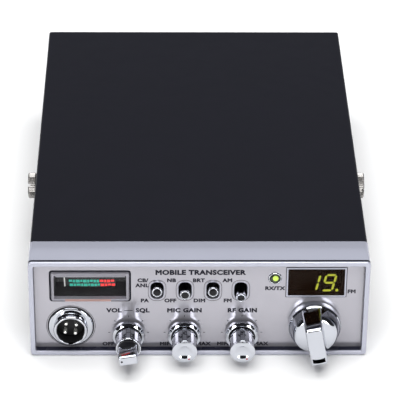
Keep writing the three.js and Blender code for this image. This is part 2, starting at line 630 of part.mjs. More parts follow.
function displayAndLamp() {
  const { left, right, bottom, top, front, rear } = DISPLAY;
  const window = roundedRectangle((left + right) / 2, (bottom + top) / 2, right - left, top - bottom, 0.5);
  place('display_filter', prism(window, front, rear), 'darkFilter');
  const depth = [rear + 0.4, WALL.front - 0.4];
  place('display_module', block([left + 1, right - 1], depth, [bottom + 1, top - 1]), 'greyPlastic');

  const { x, z, radius, collar, dome } = LAMP;
  const collarRear = PANEL.front - GAP;
  const bodyRear = 9.5;
  const lamp = turned(x, z, [[0, dome], [0.6 * radius, dome + 0.35], [0.92 * radius, dome + 1.1],
    [collar, collarRear - 0.6], [collar, collarRear], [radius, collarRear], [radius, bodyRear],
    [0, bodyRear]], 20);
  place('status_led', lamp, 'lampGreen');
}

// ---------------------------------------------------------------- rear sockets

function antennaSocket() {
  const { x, square, plate, thread, neck, bore, end, inner } = ANTENNA;
  const z = SOCKET_Z;
  const flange = block(around(x, square), [REAR_FACE, REAR_FACE + plate], around(z, square));
  const barrel = turned(x, z, [[0, inner], [neck, inner], [neck, REAR_FACE + 0.1], [thread, REAR_FACE + 0.1],
    [thread, end - 0.6], [thread - 0.6, end], [0, end]], 32);
  place('antenna_socket', cut(join(flange, barrel), rod(x, z, bore, inner - 1, end + 1, 32)), 'chrome');
  const { radius, front, contact, contactEnd, rear } = ANTENNA_CORE;
  place('antenna_insert', turned(x, z, [[0, rear], [radius, rear], [radius, front], [contact, front],
    [contact, contactEnd], [0, contactEnd]], 24), 'whitePlastic');
}

function powerInlet() {
  const { x, width, height, plate, body, cavity, inner } = POWER;
  const { spacing, size, tip, floor } = POWER_PINS;
  const z = SOCKET_Z;
  const outer = REAR_FACE + plate;
  let inlet = join(
    block(around(x, width), [REAR_FACE, outer], around(z, height)),
    block(around(x, body[0]), [inner, REAR_FACE + 0.1], around(z, body[1])));
  inlet = cut(inlet, block(around(x, cavity[0]), [floor, outer + 1], around(z, cavity[1])));
  for (const offset of [-spacing, 0, spacing]) {
    inlet = join(inlet, block(around(x + offset, size), [floor - 0.5, tip], around(z, size)));
  }
  place('power_inlet', inlet, 'blackPlastic');
}

function speakerJacks() {
  const wall = CHASSIS.rear - CHASSIS.sheet - GAP;
  const { nut, nutLength, bushing, bore, body, inner, boreEnd } = JACK;
  const end = REAR_FACE + nutLength;
  for (const [name, x] of Object.entries(JACKS)) {
    const jack = join(
      block(around(x, body), [inner, wall], around(SOCKET_Z, body)),
      rod(x, SOCKET_Z, bushing, wall - 0.1, end),
      rod(x, SOCKET_Z, nut, REAR_FACE, end - 0.7, 12));
    place(name, cut(jack, rod(x, SOCKET_Z, bore, boreEnd, end + 1)), 'blackPlastic');
  }
}

// ---------------------------------------------------------------- inside

// The printed board with its tall parts: screened coils, capacitors and two integrated circuits.
function mainBoard() {
  const top = BOARD.bottom + BOARD.thickness;
  const from = top - 0.1;
  let board = block([-BOARD.halfWidth, BOARD.halfWidth], [BOARD.front, BOARD.rear], [BOARD.bottom, top]);
  for (const x of [-60, -48, -36, -24]) {
    for (const y of [64, 84]) {
      board = join(board, block(around(x, 8), around(y, 8), [from, top + 11]));
    }
  }
  for (const x of [0, 16, 32]) {
    board = join(board, turnedUpright(x, 70, [[0, from], [5, from], [5, top + 14], [0, top + 14]], 16));
  }
  const circuits = [
    block([-10, 14], [100, 110], [from, top + 4]),
    block([30, 52], [96, 112], [from, top + 5]),
  ];
  place('main_board', join(board, ...circuits), 'circuitBoard');
}

function speaker() {
  const basket = [[0, 20.3], [16, 20.3], [16, 11.8], [18, 11.4], [34.5, 3], [38.5, 3], [38.5, 1.3],
    [34, 1.3], [34, 2], [17.4, 10.2], [0, 10.2]];
  const cone = [[0, 6.4], [9, 8], [32.4, 1.3], [33, 1.3], [33, 1.9], [9.2, 9], [0, 7.4]];
  place('speaker_frame', turnedUpright(0, SPEAKER.y, basket), 'ferrite');
  place('speaker_cone', turnedUpright(0, SPEAKER.y, cone), 'paper');
}

function audioTransformer() {
  const { x, y, core, coil } = TRANSFORMER;
  const floor = BOARD.bottom + BOARD.thickness + GAP;
  place('audio_transformer', join(
    block(around(x, core[0]), around(y, core[1]), [floor, floor + core[2]]),
    block(around(x, coil[0]), around(y, coil[1]), [floor + 2, floor + 2 + coil[2]])), 'ferrite');
}

// An angle plate beside the chassis side, with the output transistor on it.
function heatSpreader() {
  const { wall, plate, front, length, bottom, top, foot } = HEAT;
  const ends = [front, front + length];
  const inner = wall + plate;
  place('heat_spreader', join(
    block([wall, inner], ends, [bottom, top]),
    block([wall, wall + foot], ends, [top - plate, top]),
    block([inner - 0.1, inner + 4.5], [front + 20, front + 30], [bottom + 2, bottom + 16])), 'aluminium');
}

frontBezel();
frontPanel();
chassisFrame();
covers();
caseScrews();
thumbScrews();
gainKnob('mic_gain_knob', MIC_GAIN);
gainKnob('rf_gain_knob', RF_GAIN);
squelchKnob();
volumeKnob();
channelKnob();
shafts();
rotaryControl('volume_squelch_pot', VOLUME, POT.radius, DUAL_POT_REAR, 'steel');
rotaryControl('mic_gain_pot', MIC_GAIN, POT.radius, POT.rear, 'steel');
rotaryControl('rf_gain_pot', RF_GAIN, POT.radius, POT.rear, 'steel');
rotaryControl('channel_switch', CHANNEL, 11, 31, 'greyPlastic');
toggles();
meterCase();
meterScale();
meterNeedle();
meterLens();
micSocket();
displayAndLamp();
antennaSocket();
powerInlet();
speakerJacks();
mainBoard();
speaker();
audioTransformer();
heatSpreader();

export default transceiver;
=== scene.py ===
"""A mobile transceiver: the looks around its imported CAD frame.

Sizes are in millimetres, X to the right, Z up, and Y counted backwards from the bezel's front rim.
"""

import json
import math

import bmesh
import bpy
from mathutils import Matrix, Vector


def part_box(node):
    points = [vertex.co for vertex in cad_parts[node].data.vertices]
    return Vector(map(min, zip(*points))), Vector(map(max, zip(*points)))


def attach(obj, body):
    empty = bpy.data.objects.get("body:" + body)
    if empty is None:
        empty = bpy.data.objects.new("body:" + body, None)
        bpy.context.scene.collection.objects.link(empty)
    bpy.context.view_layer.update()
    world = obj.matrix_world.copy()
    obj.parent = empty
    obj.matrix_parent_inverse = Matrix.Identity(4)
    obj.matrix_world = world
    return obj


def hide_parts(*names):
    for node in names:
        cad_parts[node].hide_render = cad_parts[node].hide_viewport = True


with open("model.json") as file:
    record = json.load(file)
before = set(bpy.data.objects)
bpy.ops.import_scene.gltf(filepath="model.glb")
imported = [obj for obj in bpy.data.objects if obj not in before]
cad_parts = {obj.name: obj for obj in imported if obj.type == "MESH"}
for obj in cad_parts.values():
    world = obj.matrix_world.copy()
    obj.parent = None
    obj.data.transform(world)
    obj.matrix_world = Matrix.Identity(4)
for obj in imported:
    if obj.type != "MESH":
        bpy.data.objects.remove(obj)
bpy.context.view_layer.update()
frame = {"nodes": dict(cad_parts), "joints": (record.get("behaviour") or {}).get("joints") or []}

MM = 0.001
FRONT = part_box("front_bezel")[0].y  # the bezel's front rim in the row frame, in metres
JOINTS = {joint["child"]: joint for joint in frame["joints"]}


def at(x, y, z):
    """A point in millimetres as a place in the row frame, in metres."""
    return Vector((x * MM, FRONT + y * MM, z * MM))


def extent(node):
    """The lowest and highest corner of a CAD node, in millimetres."""
    offset = Vector((0, FRONT, 0))
    return [(corner - offset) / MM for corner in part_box(node)]


def axis_of(body):
    """Where a control's axis crosses the front, as (x, z) in millimetres."""
    x, _, z = JOINTS[body]["pos_m"]
    return x / MM, z / MM


# ---------------------------------------------------------------- solids: (points, faces)


def fillet(points, closed=False, steps=4):
    """Rounds each corner that carries a third value, its rounding."""
    rounded = []
    for i, point in enumerate(points):
        corner = Vector(point[:2])
        if len(point) < 3 or (not closed and i in (0, len(points) - 1)):
            rounded.append(tuple(corner))
            continue
        before = Vector(points[i - 1][:2]) - corner
        after = Vector(points[(i + 1) % len(points)][:2]) - corner
        start = corner + before.normalized() * min(point[2], before.length / 2)
        end = corner + after.normalized() * min(point[2], after.length / 2)
        for k in range(steps + 1):
            t = k / steps
            rounded.append(tuple(start * (1 - t) ** 2 + corner * 2 * t * (1 - t) + end * t * t))
    return rounded


def loft(loops, closed=False, caps=True):
    """Skins loops of equally many points. A closed loft joins the last loop to the first."""
    size = len(loops[0])
    points = [point for loop in loops for point in loop]
    faces = []
    for row in range(len(loops) if closed else len(loops) - 1):
        here, there = row * size, (row + 1) % len(loops) * size
        for i in range(size):
            j = (i + 1) % size
            faces.append((here + i, here + j, there + j, there + i))
    if caps and not closed:
        faces.append(tuple(range(size)))
        faces.append(tuple(range(len(points) - size, len(points))))
    return points, faces


def turned(x, z, profile, segments=64, ripple=None, closed=False):
    """A body turned about a line along Y through (x, z). The profile lists (radius, y, rounding).

    ripple(angle) gives how much to take off the radius there."""
    loops = []
    for radius, y in fillet(profile, closed):
        loop = []
        for i in range(segments):
            angle = 2 * math.pi * i / segments
            reach = max(radius - (ripple(angle) if ripple and radius > 1 else 0), 0.02)
            loop.append((x + reach * math.sin(angle), y, z + reach * math.cos(angle)))
        loops.append(loop)
    return loft(loops, closed)


def outline(x0, x1, z0, z1, rounding, steps=6):
    """A rectangle with rounded corners, as (x, z) points."""
    corners = [(x0, z0, rounding), (x1, z0, rounding), (x1, z1, rounding), (x0, z1, rounding)]
    return fillet(corners, closed=True, steps=steps)


def circle(x, z, radius, segments=48):
    """A round outline, as (x, z) points."""
    angles = [2 * math.pi * i / segments for i in range(segments)]
    return [(x + radius * math.cos(a), z + radius * math.sin(a)) for a in angles]


def prism(shape, y0, y1):
    """An outline in X and Z carried along Y."""
    return loft([[(x, y, z) for x, z in shape] for y in (y0, y1)])


def block(low, high):
    """A box between its lowest and its highest corner."""
    corners = [(low[0], low[2]), (high[0], low[2]), (high[0], high[2]), (low[0], high[2])]
    return prism(corners, low[1], high[1])


def joined(*solids):
    """Several solids as one."""
    points, faces = [], []
    for more_points, more_faces in solids:
        start = len(points)
        points = points + list(more_points)
        faces = faces + [tuple(start + i for i in face) for face in more_faces]
    return points, faces


def moved(solid, matrix):
    """A solid moved by a matrix."""
    return [tuple(matrix @ Vector(point)) for point in solid[0]], solid[1]


def swung(solid, degrees, axis, pivot):
    """A solid turned about an axis through the pivot."""
    there, back = Matrix.Translation(Vector(pivot)), Matrix.Translation(-Vector(pivot))
    return moved(solid, there @ Matrix.Rotation(math.radians(degrees), 4, axis) @ back)


def sideways(solid, x, y, z):
    """A solid made about the Y axis, laid along X with its start at (x, y, z).

    Its front faces +X for x > 0.
    """
    turn = 90 if x > 0 else -90
    return moved(solid, Matrix.Translation((x, y, z)) @ Matrix.Rotation(math.radians(turn), 4, "Z"))


# ---------------------------------------------------------------- objects


def mesh_of(name, solid):
    """A mesh in the row frame with its faces pointing out."""
    mesh = bpy.data.meshes.new(name)
    mesh.from_pydata([at(*point) for point in solid[0]], [], solid[1])
    made = bmesh.new()
    made.from_mesh(mesh)
    bmesh.ops.recalc_face_normals(made, faces=made.faces)
    made.to_mesh(mesh)
    made.free()
    return mesh


def shade(mesh, sharp):
    """Smooth shading, with edges kept above an angle in degrees."""
    mesh.polygons.foreach_set("use_smooth", [True] * len(mesh.polygons))
    mesh.set_sharp_from_angle(angle=math.radians(sharp))


def round_edges(piece, width, segments=2):
    """Rounds a piece's sharp edges by a width in millimetres."""
    bevel = piece.modifiers.new("edges", "BEVEL")
    bevel.width = width * MM
    bevel.segments = segments
    bevel.limit_method = "ANGLE"
    bevel.angle_limit = math.radians(40)
    bevel.harden_normals = True


def piece(name, made, material, body="root", stands_for=(), slot=None, sharp=35, edges=0.0):
    """Adds a piece made of a solid or a finished mesh, riding on a body."""
    mesh = mesh_of(name, made) if isinstance(made, tuple) else made
    shade(mesh, sharp)
    mesh.materials.clear()
    mesh.materials.append(material)
    added = bpy.data.objects.new(name, mesh)
    bpy.context.scene.collection.objects.link(added)
    if edges:
        round_edges(added, edges)
    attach(added, body)
    if stands_for:
        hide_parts(*([stands_for] if isinstance(stands_for, str) else stands_for))
    return added


def evaluated_mesh(thing):
    """The mesh that an object shows, after which the object is removed."""
    bpy.context.view_layer.update()
    mesh = bpy.data.meshes.new_from_object(thing.evaluated_get(bpy.context.evaluated_depsgraph_get()))
    bpy.data.objects.remove(thing)
    return mesh


def temporary(data):
    """Links mesh or curve data to the scene as an object to work on."""
    thing = bpy.data.objects.new("temporary", data)
    bpy.context.scene.collection.objects.link(thing)
    return thing


def carved(name, solid, cutters):
    """A solid's mesh with other solids cut out of it."""
    blank = temporary(mesh_of(name, solid))
    knives = [temporary(mesh_of(name, cutter)) for cutter in cutters]
    for knife in knives:
        cut = blank.modifiers.new("cut", "BOOLEAN")
        cut.object = knife
        cut.solver = "EXACT"
    mesh = evaluated_mesh(blank)
    for knife in knives:
        bpy.data.objects.remove(knife)
    return mesh


def facing_front(mesh, y):
    """Stands a mesh drawn in X and Y, in millimetres, up in the row frame, facing the front at y."""
    stand = Matrix(((1, 0, 0, 0), (0, 0, -1, y), (0, 1, 0, 0), (0, 0, 0, 1)))
    mesh.transform(Matrix.Translation((0, FRONT, 0)) @ Matrix.Scale(MM, 4) @ stand)
    return mesh


def plate(name, outlines, y0, y1, rounding=0.15):
    """A flat plate from y0 to y1 with rounded edges. The first outline is its edge, the others are holes."""
    curve = bpy.data.curves.new(name, "CURVE")
    curve.dimensions = "2D"
    curve.fill_mode = "BOTH"
    curve.extrude = (y1 - y0) / 2 - rounding
    curve.bevel_depth = rounding
    curve.bevel_resolution = 2
    curve.offset = -rounding
    for shape in outlines:
        spline = curve.splines.new("POLY")
        spline.points.add(len(shape) - 1)
        for point, (x, z) in zip(spline.points, shape):
            point.co = (x, z, 0, 1)
        spline.use_cyclic_u = True
    return facing_front(evaluated_mesh(temporary(curve)), (y0 + y1) / 2)


CAP_HEIGHT = 0.72  # height of a capital letter in a font size of 1


def text_mesh(words, x, z, height, y, width, weight):
    """A line of text centred on (x, z), with capitals of a height in millimetres, just in front of y.

    weight thickens the strokes by a bevel, which is then flattened."""
    curve = bpy.data.curves.new("text", "FONT")
    curve.body = words
    curve.size = height / CAP_HEIGHT
    curve.space_character = 1.08
    curve.align_x = "CENTER"
    curve.align_y = "CENTER"
    curve.bevel_depth = weight
    curve.bevel_resolution = 0
    curve.resolution_u = 3
    mesh = evaluated_mesh(temporary(curve))
    flat = Matrix.Diagonal((width, 1, PRINT_DEPTH / (2 * weight), 1))
    mesh.transform(Matrix.Translation((x, z, 0)) @ flat)
    return facing_front(mesh, y - PRINT_DEPTH / 2)


def merged(name, meshes):
    """One mesh out of several."""
    made = bmesh.new()
    for mesh in meshes:
        made.from_mesh(mesh)
    whole = bpy.data.meshes.new(name)
    made.to_mesh(whole)
    made.free()
    return whole


# ---------------------------------------------------------------- materials


def add_noise(tree, vector, size, detail=3.0, rough=0.5):
    """A noise texture with patches of about the given size in mm."""
    noise = tree.nodes.new("ShaderNodeTexNoise")
    noise.inputs["Scale"].default_value = 1 / (size * MM)
    noise.inputs["Detail"].default_value = detail
    noise.inputs["Roughness"].default_value = rough
    tree.links.new(vector, noise.inputs["Vector"])
    return noise.outputs["Fac"]


def spread(tree, value, low, high):
    """A noise value stretched to run from low to high."""
    remap = tree.nodes.new("ShaderNodeMapRange")
    remap.inputs["From Min"].default_value = 0.3
    remap.inputs["From Max"].default_value = 0.7
    remap.inputs["To Min"].default_value = low
    remap.inputs["To Max"].default_value = high
    tree.links.new(value, remap.inputs["Value"])
    return remap.outputs["Result"]


def surface(name, colour, roughness, metallic=0.0, mottle=0.06, patch=14.0, smudge=0.25,
            grain=0.5, depth=0.0, stretch=(1, 1, 1), coat=0.0, alpha=1.0, glow=0.0, specular=0.5, ior=1.5):
    """A procedural surface: colour mottled in patches, roughness smudged, and a fine bump.

    grain is the bump's feature size and depth its height, both in millimetres."""
    material = bpy.data.materials.new(name)
    material.use_nodes = True
    tree = material.node_tree
    shader = tree.nodes["Principled BSDF"]
    shader.inputs["Metallic"].default_value = metallic
    shader.inputs["Coat Weight"].default_value = coat
    shader.inputs["Coat Roughness"].default_value = 0.08
    shader.inputs["Alpha"].default_value = alpha
    shader.inputs["IOR"].default_value = ior
    shader.inputs["Specular IOR Level"].default_value = specular
    if glow:
        shader.inputs["Emission Color"].default_value = (*colour, 1)
        shader.inputs["Emission Strength"].default_value = glow
    place = tree.nodes.new("ShaderNodeTexCoord").outputs["Object"]
    mix = tree.nodes.new("ShaderNodeMix")
    mix.data_type = "RGBA"
    mix.inputs["A"].default_value = (*(c * (1 - mottle) for c in colour), 1)
    mix.inputs["B"].default_value = (*(min(1.0, c * (1 + mottle)) for c in colour), 1)
    patches = add_noise(tree, place, patch)
    tree.links.new(spread(tree, patches, 0, 1), mix.inputs["Factor"])
    tree.links.new(mix.outputs["Result"], shader.inputs["Base Color"])
    smudges = add_noise(tree, place, patch / 2, detail=1)
    low, high = roughness * (1 - smudge), min(1.0, roughness * (1 + smudge))
    tree.links.new(spread(tree, smudges, low, high), shader.inputs["Roughness"])
    if depth:
        mapping = tree.nodes.new("ShaderNodeMapping")
        mapping.inputs["Scale"].default_value = stretch
        tree.links.new(place, mapping.inputs["Vector"])
        bump = tree.nodes.new("ShaderNodeBump")
        bump.inputs["Strength"].default_value = 1.0
        bump.inputs["Distance"].default_value = depth * MM
        tree.links.new(add_noise(tree, mapping.outputs["Vector"], grain), bump.inputs["Height"])
        tree.links.new(bump.outputs["Normal"], shader.inputs["Normal"])
    return material


ALONG_X = (0.03, 1, 1)  # stretches a grain into brush marks along X

BLACK_PAINT = surface("black paint", (0.0028, 0.0028, 0.0062), 0.38, grain=0.9, depth=0.0015, smudge=0.08,
                      specular=0.12)
SILVER_PAINT = surface("silver paint", (0.45, 0.46, 0.535), 0.26, 0.45, mottle=0.012, patch=25,
                       smudge=0.05)
PANEL_SILVER = surface("satin panel", (0.41, 0.402, 0.44), 0.19, 0.62, mottle=0.012, patch=30, smudge=0.05)
CHROME = surface("chrome", (0.53, 0.545, 0.59), 0.05, 1.0, mottle=0.015, smudge=0.15, grain=2.0, depth=0.0006)
GREY_METAL = surface("grey trim", (0.30, 0.30, 0.33), 0.4, 0.3, mottle=0.1, patch=6, grain=0.3, depth=0.002)
PIN_SILVER = surface("silver plated contact", (0.85, 0.85, 0.82), 0.15, 0.8, mottle=0.05, patch=2,
                     grain=0.3, depth=0.002)
STEEL = surface("zinc plated steel", (0.52, 0.53, 0.50), 0.36, 0.9, mottle=0.12, patch=5, grain=0.3,
                depth=0.004)
SHAFT_STEEL = surface("turned steel", (0.60, 0.60, 0.62), 0.25, 1.0, grain=0.2, depth=0.004)
KNURLED_STEEL = surface("knurled steel", (0.30, 0.29, 0.28), 0.28, 0.9, mottle=0.15, patch=3, grain=0.25,
                        depth=0.004)
BLACK_STEEL = surface("black oxide steel", (0.035, 0.035, 0.042), 0.34, 0.6, grain=0.25, depth=0.005)
RUBBER = surface("rubber", (0.012, 0.012, 0.013), 0.8, grain=0.2, depth=0.01)
BLACK_PLASTIC = surface("black plastic", (0.006, 0.006, 0.007), 0.45, grain=0.25, depth=0.006, specular=0.3)
GREY_PLASTIC = surface("grey plastic", (0.13, 0.13, 0.14), 0.5, grain=0.3, depth=0.006)
CLEAR_PLASTIC = surface("clear plastic", (0.60, 0.58, 0.62), 0.05, alpha=0.012, grain=2, depth=0.001,
                        specular=0.15)
# Painted highlight: the lens's bevelled frame is made pale and half opaque, standing in for the bright
# reflections on its edges.
CLEAR_EDGE_PAINTED_HIGHLIGHT = surface("clear plastic edge with painted highlight", (0.40, 0.39, 0.44), 0.06, alpha=0.62, grain=2, depth=0.001)
# Painted reflection: a rosy half-opaque colour for the red-tinted reflection along the lens's lower edge.
ROSY_PAINTED_REFLECTION = surface("painted red reflection on lens edge", (0.42, 0.25, 0.22), 0.10, alpha=0.75, grain=2, depth=0.001)
DARK_FILTER = surface("smoked filter", (0.012, 0.0055, 0.003), 0.06, alpha=0.62, grain=3, depth=0.0005,
                      specular=0.06)
# Black print; also used for painted shadow lines round the meter, round the microphone socket and in the
# bezel's groove.
PRINT_INK_AND_SHADE = surface("black ink and painted shade", (0.010, 0.010, 0.016), 0.5, specular=0.04)
# Painted shade: near-black for the inside of the bezel's recess, standing in for the shade and dark
# reflection there.
RECESS_PAINTED_SHADE = surface("recess wall", (0.014, 0.015, 0.028), 0.25, grain=0.3, depth=0.001, specular=0.2)
# Black for the real marks on the knobs; also painted shade on the groove floors round the knob grips and
# painted reflection on the toggle bats' ends.
BLACK_INLAY_AND_SHADE = surface("black inlay and painted shade", (0.003, 0.003, 0.005), 0.3, grain=0.2, depth=0.001, specular=0.3)
RED_INLAY = surface("red inlay", (0.34, 0.012, 0.02), 0.35, grain=0.2, depth=0.001, specular=0.2)
SCALE_BLACK = surface("scale card", (0.008, 0.009, 0.010), 0.6, grain=0.15, depth=0.003)
# Painted light: the meter's print and pointer glow, standing in for the light of the meter's lamp behind the
# card.
GREEN_PRINT_PAINTED_GLOW = surface("green scale print with painted glow", (0.012, 0.30, 0.22), 0.5, glow=0.55, grain=0.15, depth=0.002)
RED_PRINT_PAINTED_GLOW = surface("red scale print with painted glow", (0.66, 0.025, 0.025), 0.5, glow=0.65, grain=0.15, depth=0.002)
WHITE_PRINT_PAINTED_GLOW = surface("white print with painted glow", (0.75, 0.75, 0.72), 0.5, glow=0.25, grain=0.15, depth=0.002)
LAMP_BODY = surface("dark green lens", (0.018, 0.032, 0.003), 0.08, coat=0.5, grain=1, depth=0.001)
LAMP_CORE = surface("lit lamp", (0.46, 0.62, 0.09), 0.15, glow=0.55, coat=0.4, grain=1, depth=0.001)
DIGIT_GLOW = surface("lit digits", (0.80, 0.84, 0.09), 0.4, glow=3.6, mottle=0.03, grain=0.3, depth=0.001)
WHITE_PLASTIC = surface("fluoropolymer", (0.80, 0.79, 0.74), 0.45, grain=0.4, depth=0.004)
BRASS = surface("brass", (0.66, 0.48, 0.20), 0.22, 1.0, grain=0.3, depth=0.003)
BOARD_GREEN = surface("solder resist", (0.012, 0.095, 0.035), 0.4, mottle=0.3, patch=2.5, grain=0.8,
                      depth=0.03)
FERRITE = surface("lacquered core", (0.055, 0.048, 0.042), 0.5, 0.3, mottle=0.2, grain=0.4, depth=0.02)
PAPER = surface("pressed paper", (0.020, 0.018, 0.016), 0.9, mottle=0.2, patch=3, grain=0.5, depth=0.06)
ALUMINIUM = surface("milled aluminium", (0.62, 0.63, 0.65), 0.35, 1.0, grain=0.15, depth=0.005,
                    stretch=ALONG_X)
FLOOR_WHITE = surface("pale floor", (0.86, 0.86, 0.86), 0.75, mottle=0.004, patch=400, grain=4, depth=0.01)

PRINT_DEPTH = 0.03  # how far printed marks stand off the surface, in millimetres


# ---------------------------------------------------------------- case


def front_bezel():
    """A hollow frame: outside with a fine groove, rounded rim, recess wall, ledge and pocket."""
    low, high = extent("front_bezel")
    rear = high.y
    rim_side, rim_low, rim_high, ledge = 2.3, 2.1, 2.1, 3.7
    wall_side, wall_low, wall_high = 1.6, 1.3, 1.3
    corner = 2.0

    def frame_loop(side, below, above, y, rounding):
        shape = outline(low.x + side, high.x - side, low.z + below, high.z - above, rounding)
        return [(x, y, z) for x, z in shape]

    def outside(inset, y):
        return frame_loop(inset, inset, inset, y, corner)

    groove, groove_front, groove_rear = 0.4, 1.2, 2.6
    loops = [outside(0.25, rear), outside(0, rear - 0.25), outside(0, groove_rear),
             outside(groove, groove_rear - 0.1),
             outside(groove, groove_front + 0.1), outside(0, groove_front), outside(0, 0.65),
             outside(0.08, 0.3),
             outside(0.3, 0.08), outside(0.6, 0)]
    for grow, y in ((0.25, 0.0), (0.07, 0.08), (0.0, 0.3), (0.0, ledge)):
        loops.append(frame_loop(rim_side - grow, rim_low - grow, rim_high - grow, y, 1.0))
    for y in (ledge, rear):
        loops.append(frame_loop(wall_side, wall_low, wall_high, y, 0.3))
    piece("bezel", loft(loops, closed=True), SILVER_PAINT, stands_for="front_bezel", slot="silver_paint",
          sharp=50)
    # Painted shade: a dark ring laid in the groove stands in for the shadow inside it.
    line = [outside(depth, y) for depth, y in ((groove + 0.1, groove_rear - 0.1), (0.03, groove_rear - 0.05),
                                               (0.03, groove_front + 0.05),
                                               (groove + 0.1, groove_front + 0.1))]
    piece("bezel_groove_painted_shade", loft(line, closed=True), PRINT_INK_AND_SHADE, slot="silver_paint", sharp=50)

    # Painted shade: a near-black sheet on the recess walls stands in for the shade and dark reflection inside
    # the recess.
    def shade_loop(grow, y):
        return frame_loop(rim_side + grow, rim_low + grow, rim_high + grow, y, 1.0)

    recess_shade = [shade_loop(grow, y) for grow, y in ((-0.05, 1.1), (0.12, 1.1), (0.12, ledge + 0.2),
                                                   (-0.05, ledge + 0.2))]
    piece("bezel_recess_painted_shade", loft(recess_shade, closed=True), RECESS_PAINTED_SHADE, slot="silver_paint", sharp=50)


TOGGLE_BODIES = ["pa_toggle", "noise_toggle", "dimmer_toggle", "mode_toggle"]
TOGGLE_HOLE = (6.1, 9.2)


def front_panel():
    """The silver plate with its holes."""
    low, high = extent("front_panel")
    holes = []
    width, height = TOGGLE_HOLE
    for body in TOGGLE_BODIES:
        x, z = axis_of(body)
        holes.append(outline(x - width / 2, x + width / 2, z - height / 2, z + height / 2, width / 2,
                             steps=10))
    for node in ("meter_lens", "display_filter"):
        near, far = extent(node)
        holes.append(outline(near.x - 0.3, far.x + 0.3, near.z - 0.3, far.z + 0.3, 0.6))
    for body in ("volume", "mic_gain", "rf_gain", "channel"):
        holes.append(circle(*axis_of(body), 4.0))
    near, far = extent("mic_socket_shell")
    holes.append(circle((near.x + far.x) / 2, (near.z + far.z) / 2, 8.3))
    near, far = extent("status_led")
    holes.append(circle((near.x + far.x) / 2, (near.z + far.z) / 2, 2.7))
    edge = outline(low.x, high.x, low.z, high.z, 0.8)
    mesh = plate("panel", [edge, *holes], low.y, high.y)
    piece("panel", mesh, PANEL_SILVER, stands_for="front_panel", slot="panel_silver")


def case_holes():
    """Round cutters through the case's sides, for the bracket screws and the case screws."""
    half = extent("top_cover")[1].x + 2
    cutters = []
    for node, radius in (("thumb_screw_left", 4.8), ("top_cover_screw_left_front", 1.6),
                         ("top_cover_screw_left_rear", 1.6), ("bottom_cover_screw_left", 1.6)):
        near, far = extent(node)
        bar = turned(0, 0, [(radius, -half), (radius, half)], segments=32)
        cutters.append(sideways(bar, 1e-6, (near.y + far.y) / 2, (near.z + far.z) / 2))
    return cutters


def cover(name, flat, edge, cutters):
    """A folded sheet with a flat top or bottom and two sides down or up to its edge."""
    low, high = extent(name)
    inwards = 1 if edge > flat else -1
    thick, bend = 1.0, 1.5
    right = [(high.x, edge), (high.x, flat, bend), (0, flat)]
    left = [(-x, z, *rounding) for x, z, *rounding in reversed(right[:2])]
    inner_right = [(high.x - thick, edge), (high.x - thick, flat + inwards * thick, bend - thick)]
    inner_left = [(-x, z, *rounding) for x, z, *rounding in reversed(inner_right)]
    shape = fillet([*right, *left, *reversed(inner_left), *reversed(inner_right)], closed=True, steps=6)
    mesh = carved(name, prism(shape, low.y, high.y), cutters)
    made = piece(name + "_sheet", mesh, BLACK_PAINT, stands_for=name, slot="black_paint", sharp=40)
    round_edges(made, 0.18)


def covers():
    """Both case halves, the lower one with its speaker slots."""
    cutters = case_holes()
    cover("top_cover", extent("top_cover")[1].z, extent("top_cover")[0].z, cutters)
    slots = []
    speaker_low, speaker_high = extent("speaker_frame")
    middle = (speaker_low.y + speaker_high.y) / 2
    count, pitch, reach, thick = 9, 7, 29, 3
    for i in range(count):
        offset = (i - (count - 1) / 2) * pitch
        half = math.sqrt(reach ** 2 - (0.8 * offset) ** 2)
        corners = [(half, middle + offset + side * thick / 2, thick / 2) for side in (-1, 1)]
        corners += [(-x, y, rounding) for x, y, rounding in reversed(corners)]
        shape = fillet(corners, closed=True, steps=6)
        slots.append(loft([[(x, y, z) for x, y in shape] for z in (-1, 2)]))
    cover("bottom_cover", 0, extent("bottom_cover")[1].z, [*cutters, *slots])


def cross_recess(depth, length, width):
    """The cutter of a cross slot in the end of a body made about Y, whose front is at y = 0."""
    arm = block((-length / 2, -1, -width / 2), (length / 2, depth, width / 2))
    return [arm, swung(arm, 90, "Y", (0, 0, 0))]


def case_screws():
    """Pan heads with a cross recess."""
    for node in frame["nodes"]:
        if "cover_screw" not in node:
            continue
        low, high = extent(node)
        side = 1 if high.x > 0 else -1
        outer = high.x if side > 0 else low.x
        radius = (high.z - low.z) / 2
        length = high.x - low.x
        profile = [(0, 0), (1.8, 0.02), (radius, 0.35, 0.3), (radius, 0.6, 0.05), (1.2, 0.6),
                   (1.2, length - 0.8),
                   (0.4, length), (0, length)]
        mesh = carved(node, turned(0, 0, profile, segments=32), cross_recess(1.3, 2.9, 0.6))
        lay_on_side(mesh, outer, (low.y + high.y) / 2, (low.z + high.z) / 2)
        piece(node + "_head", mesh, BLACK_STEEL, stands_for=node, slot="black_steel")


def lay_on_side(mesh, x, y, z):
    """Lays a mesh made in the row frame about Y along X, with its front end at (x, y, z)."""
    turn = Matrix.Rotation(math.radians(90 if x > 0 else -90), 4, "Z")
    placed = Matrix.Translation((x * MM, FRONT + y * MM, z * MM))
    mesh.transform(placed @ turn @ Matrix.Translation((0, -FRONT, 0)))


SLOT_ANGLES = {"left": -31.5, "right": 8}


def knurl(angle):
    """How far a knurled rim dips at an angle, in mm."""
    return 0.35 * math.sin(22 * angle) ** 2


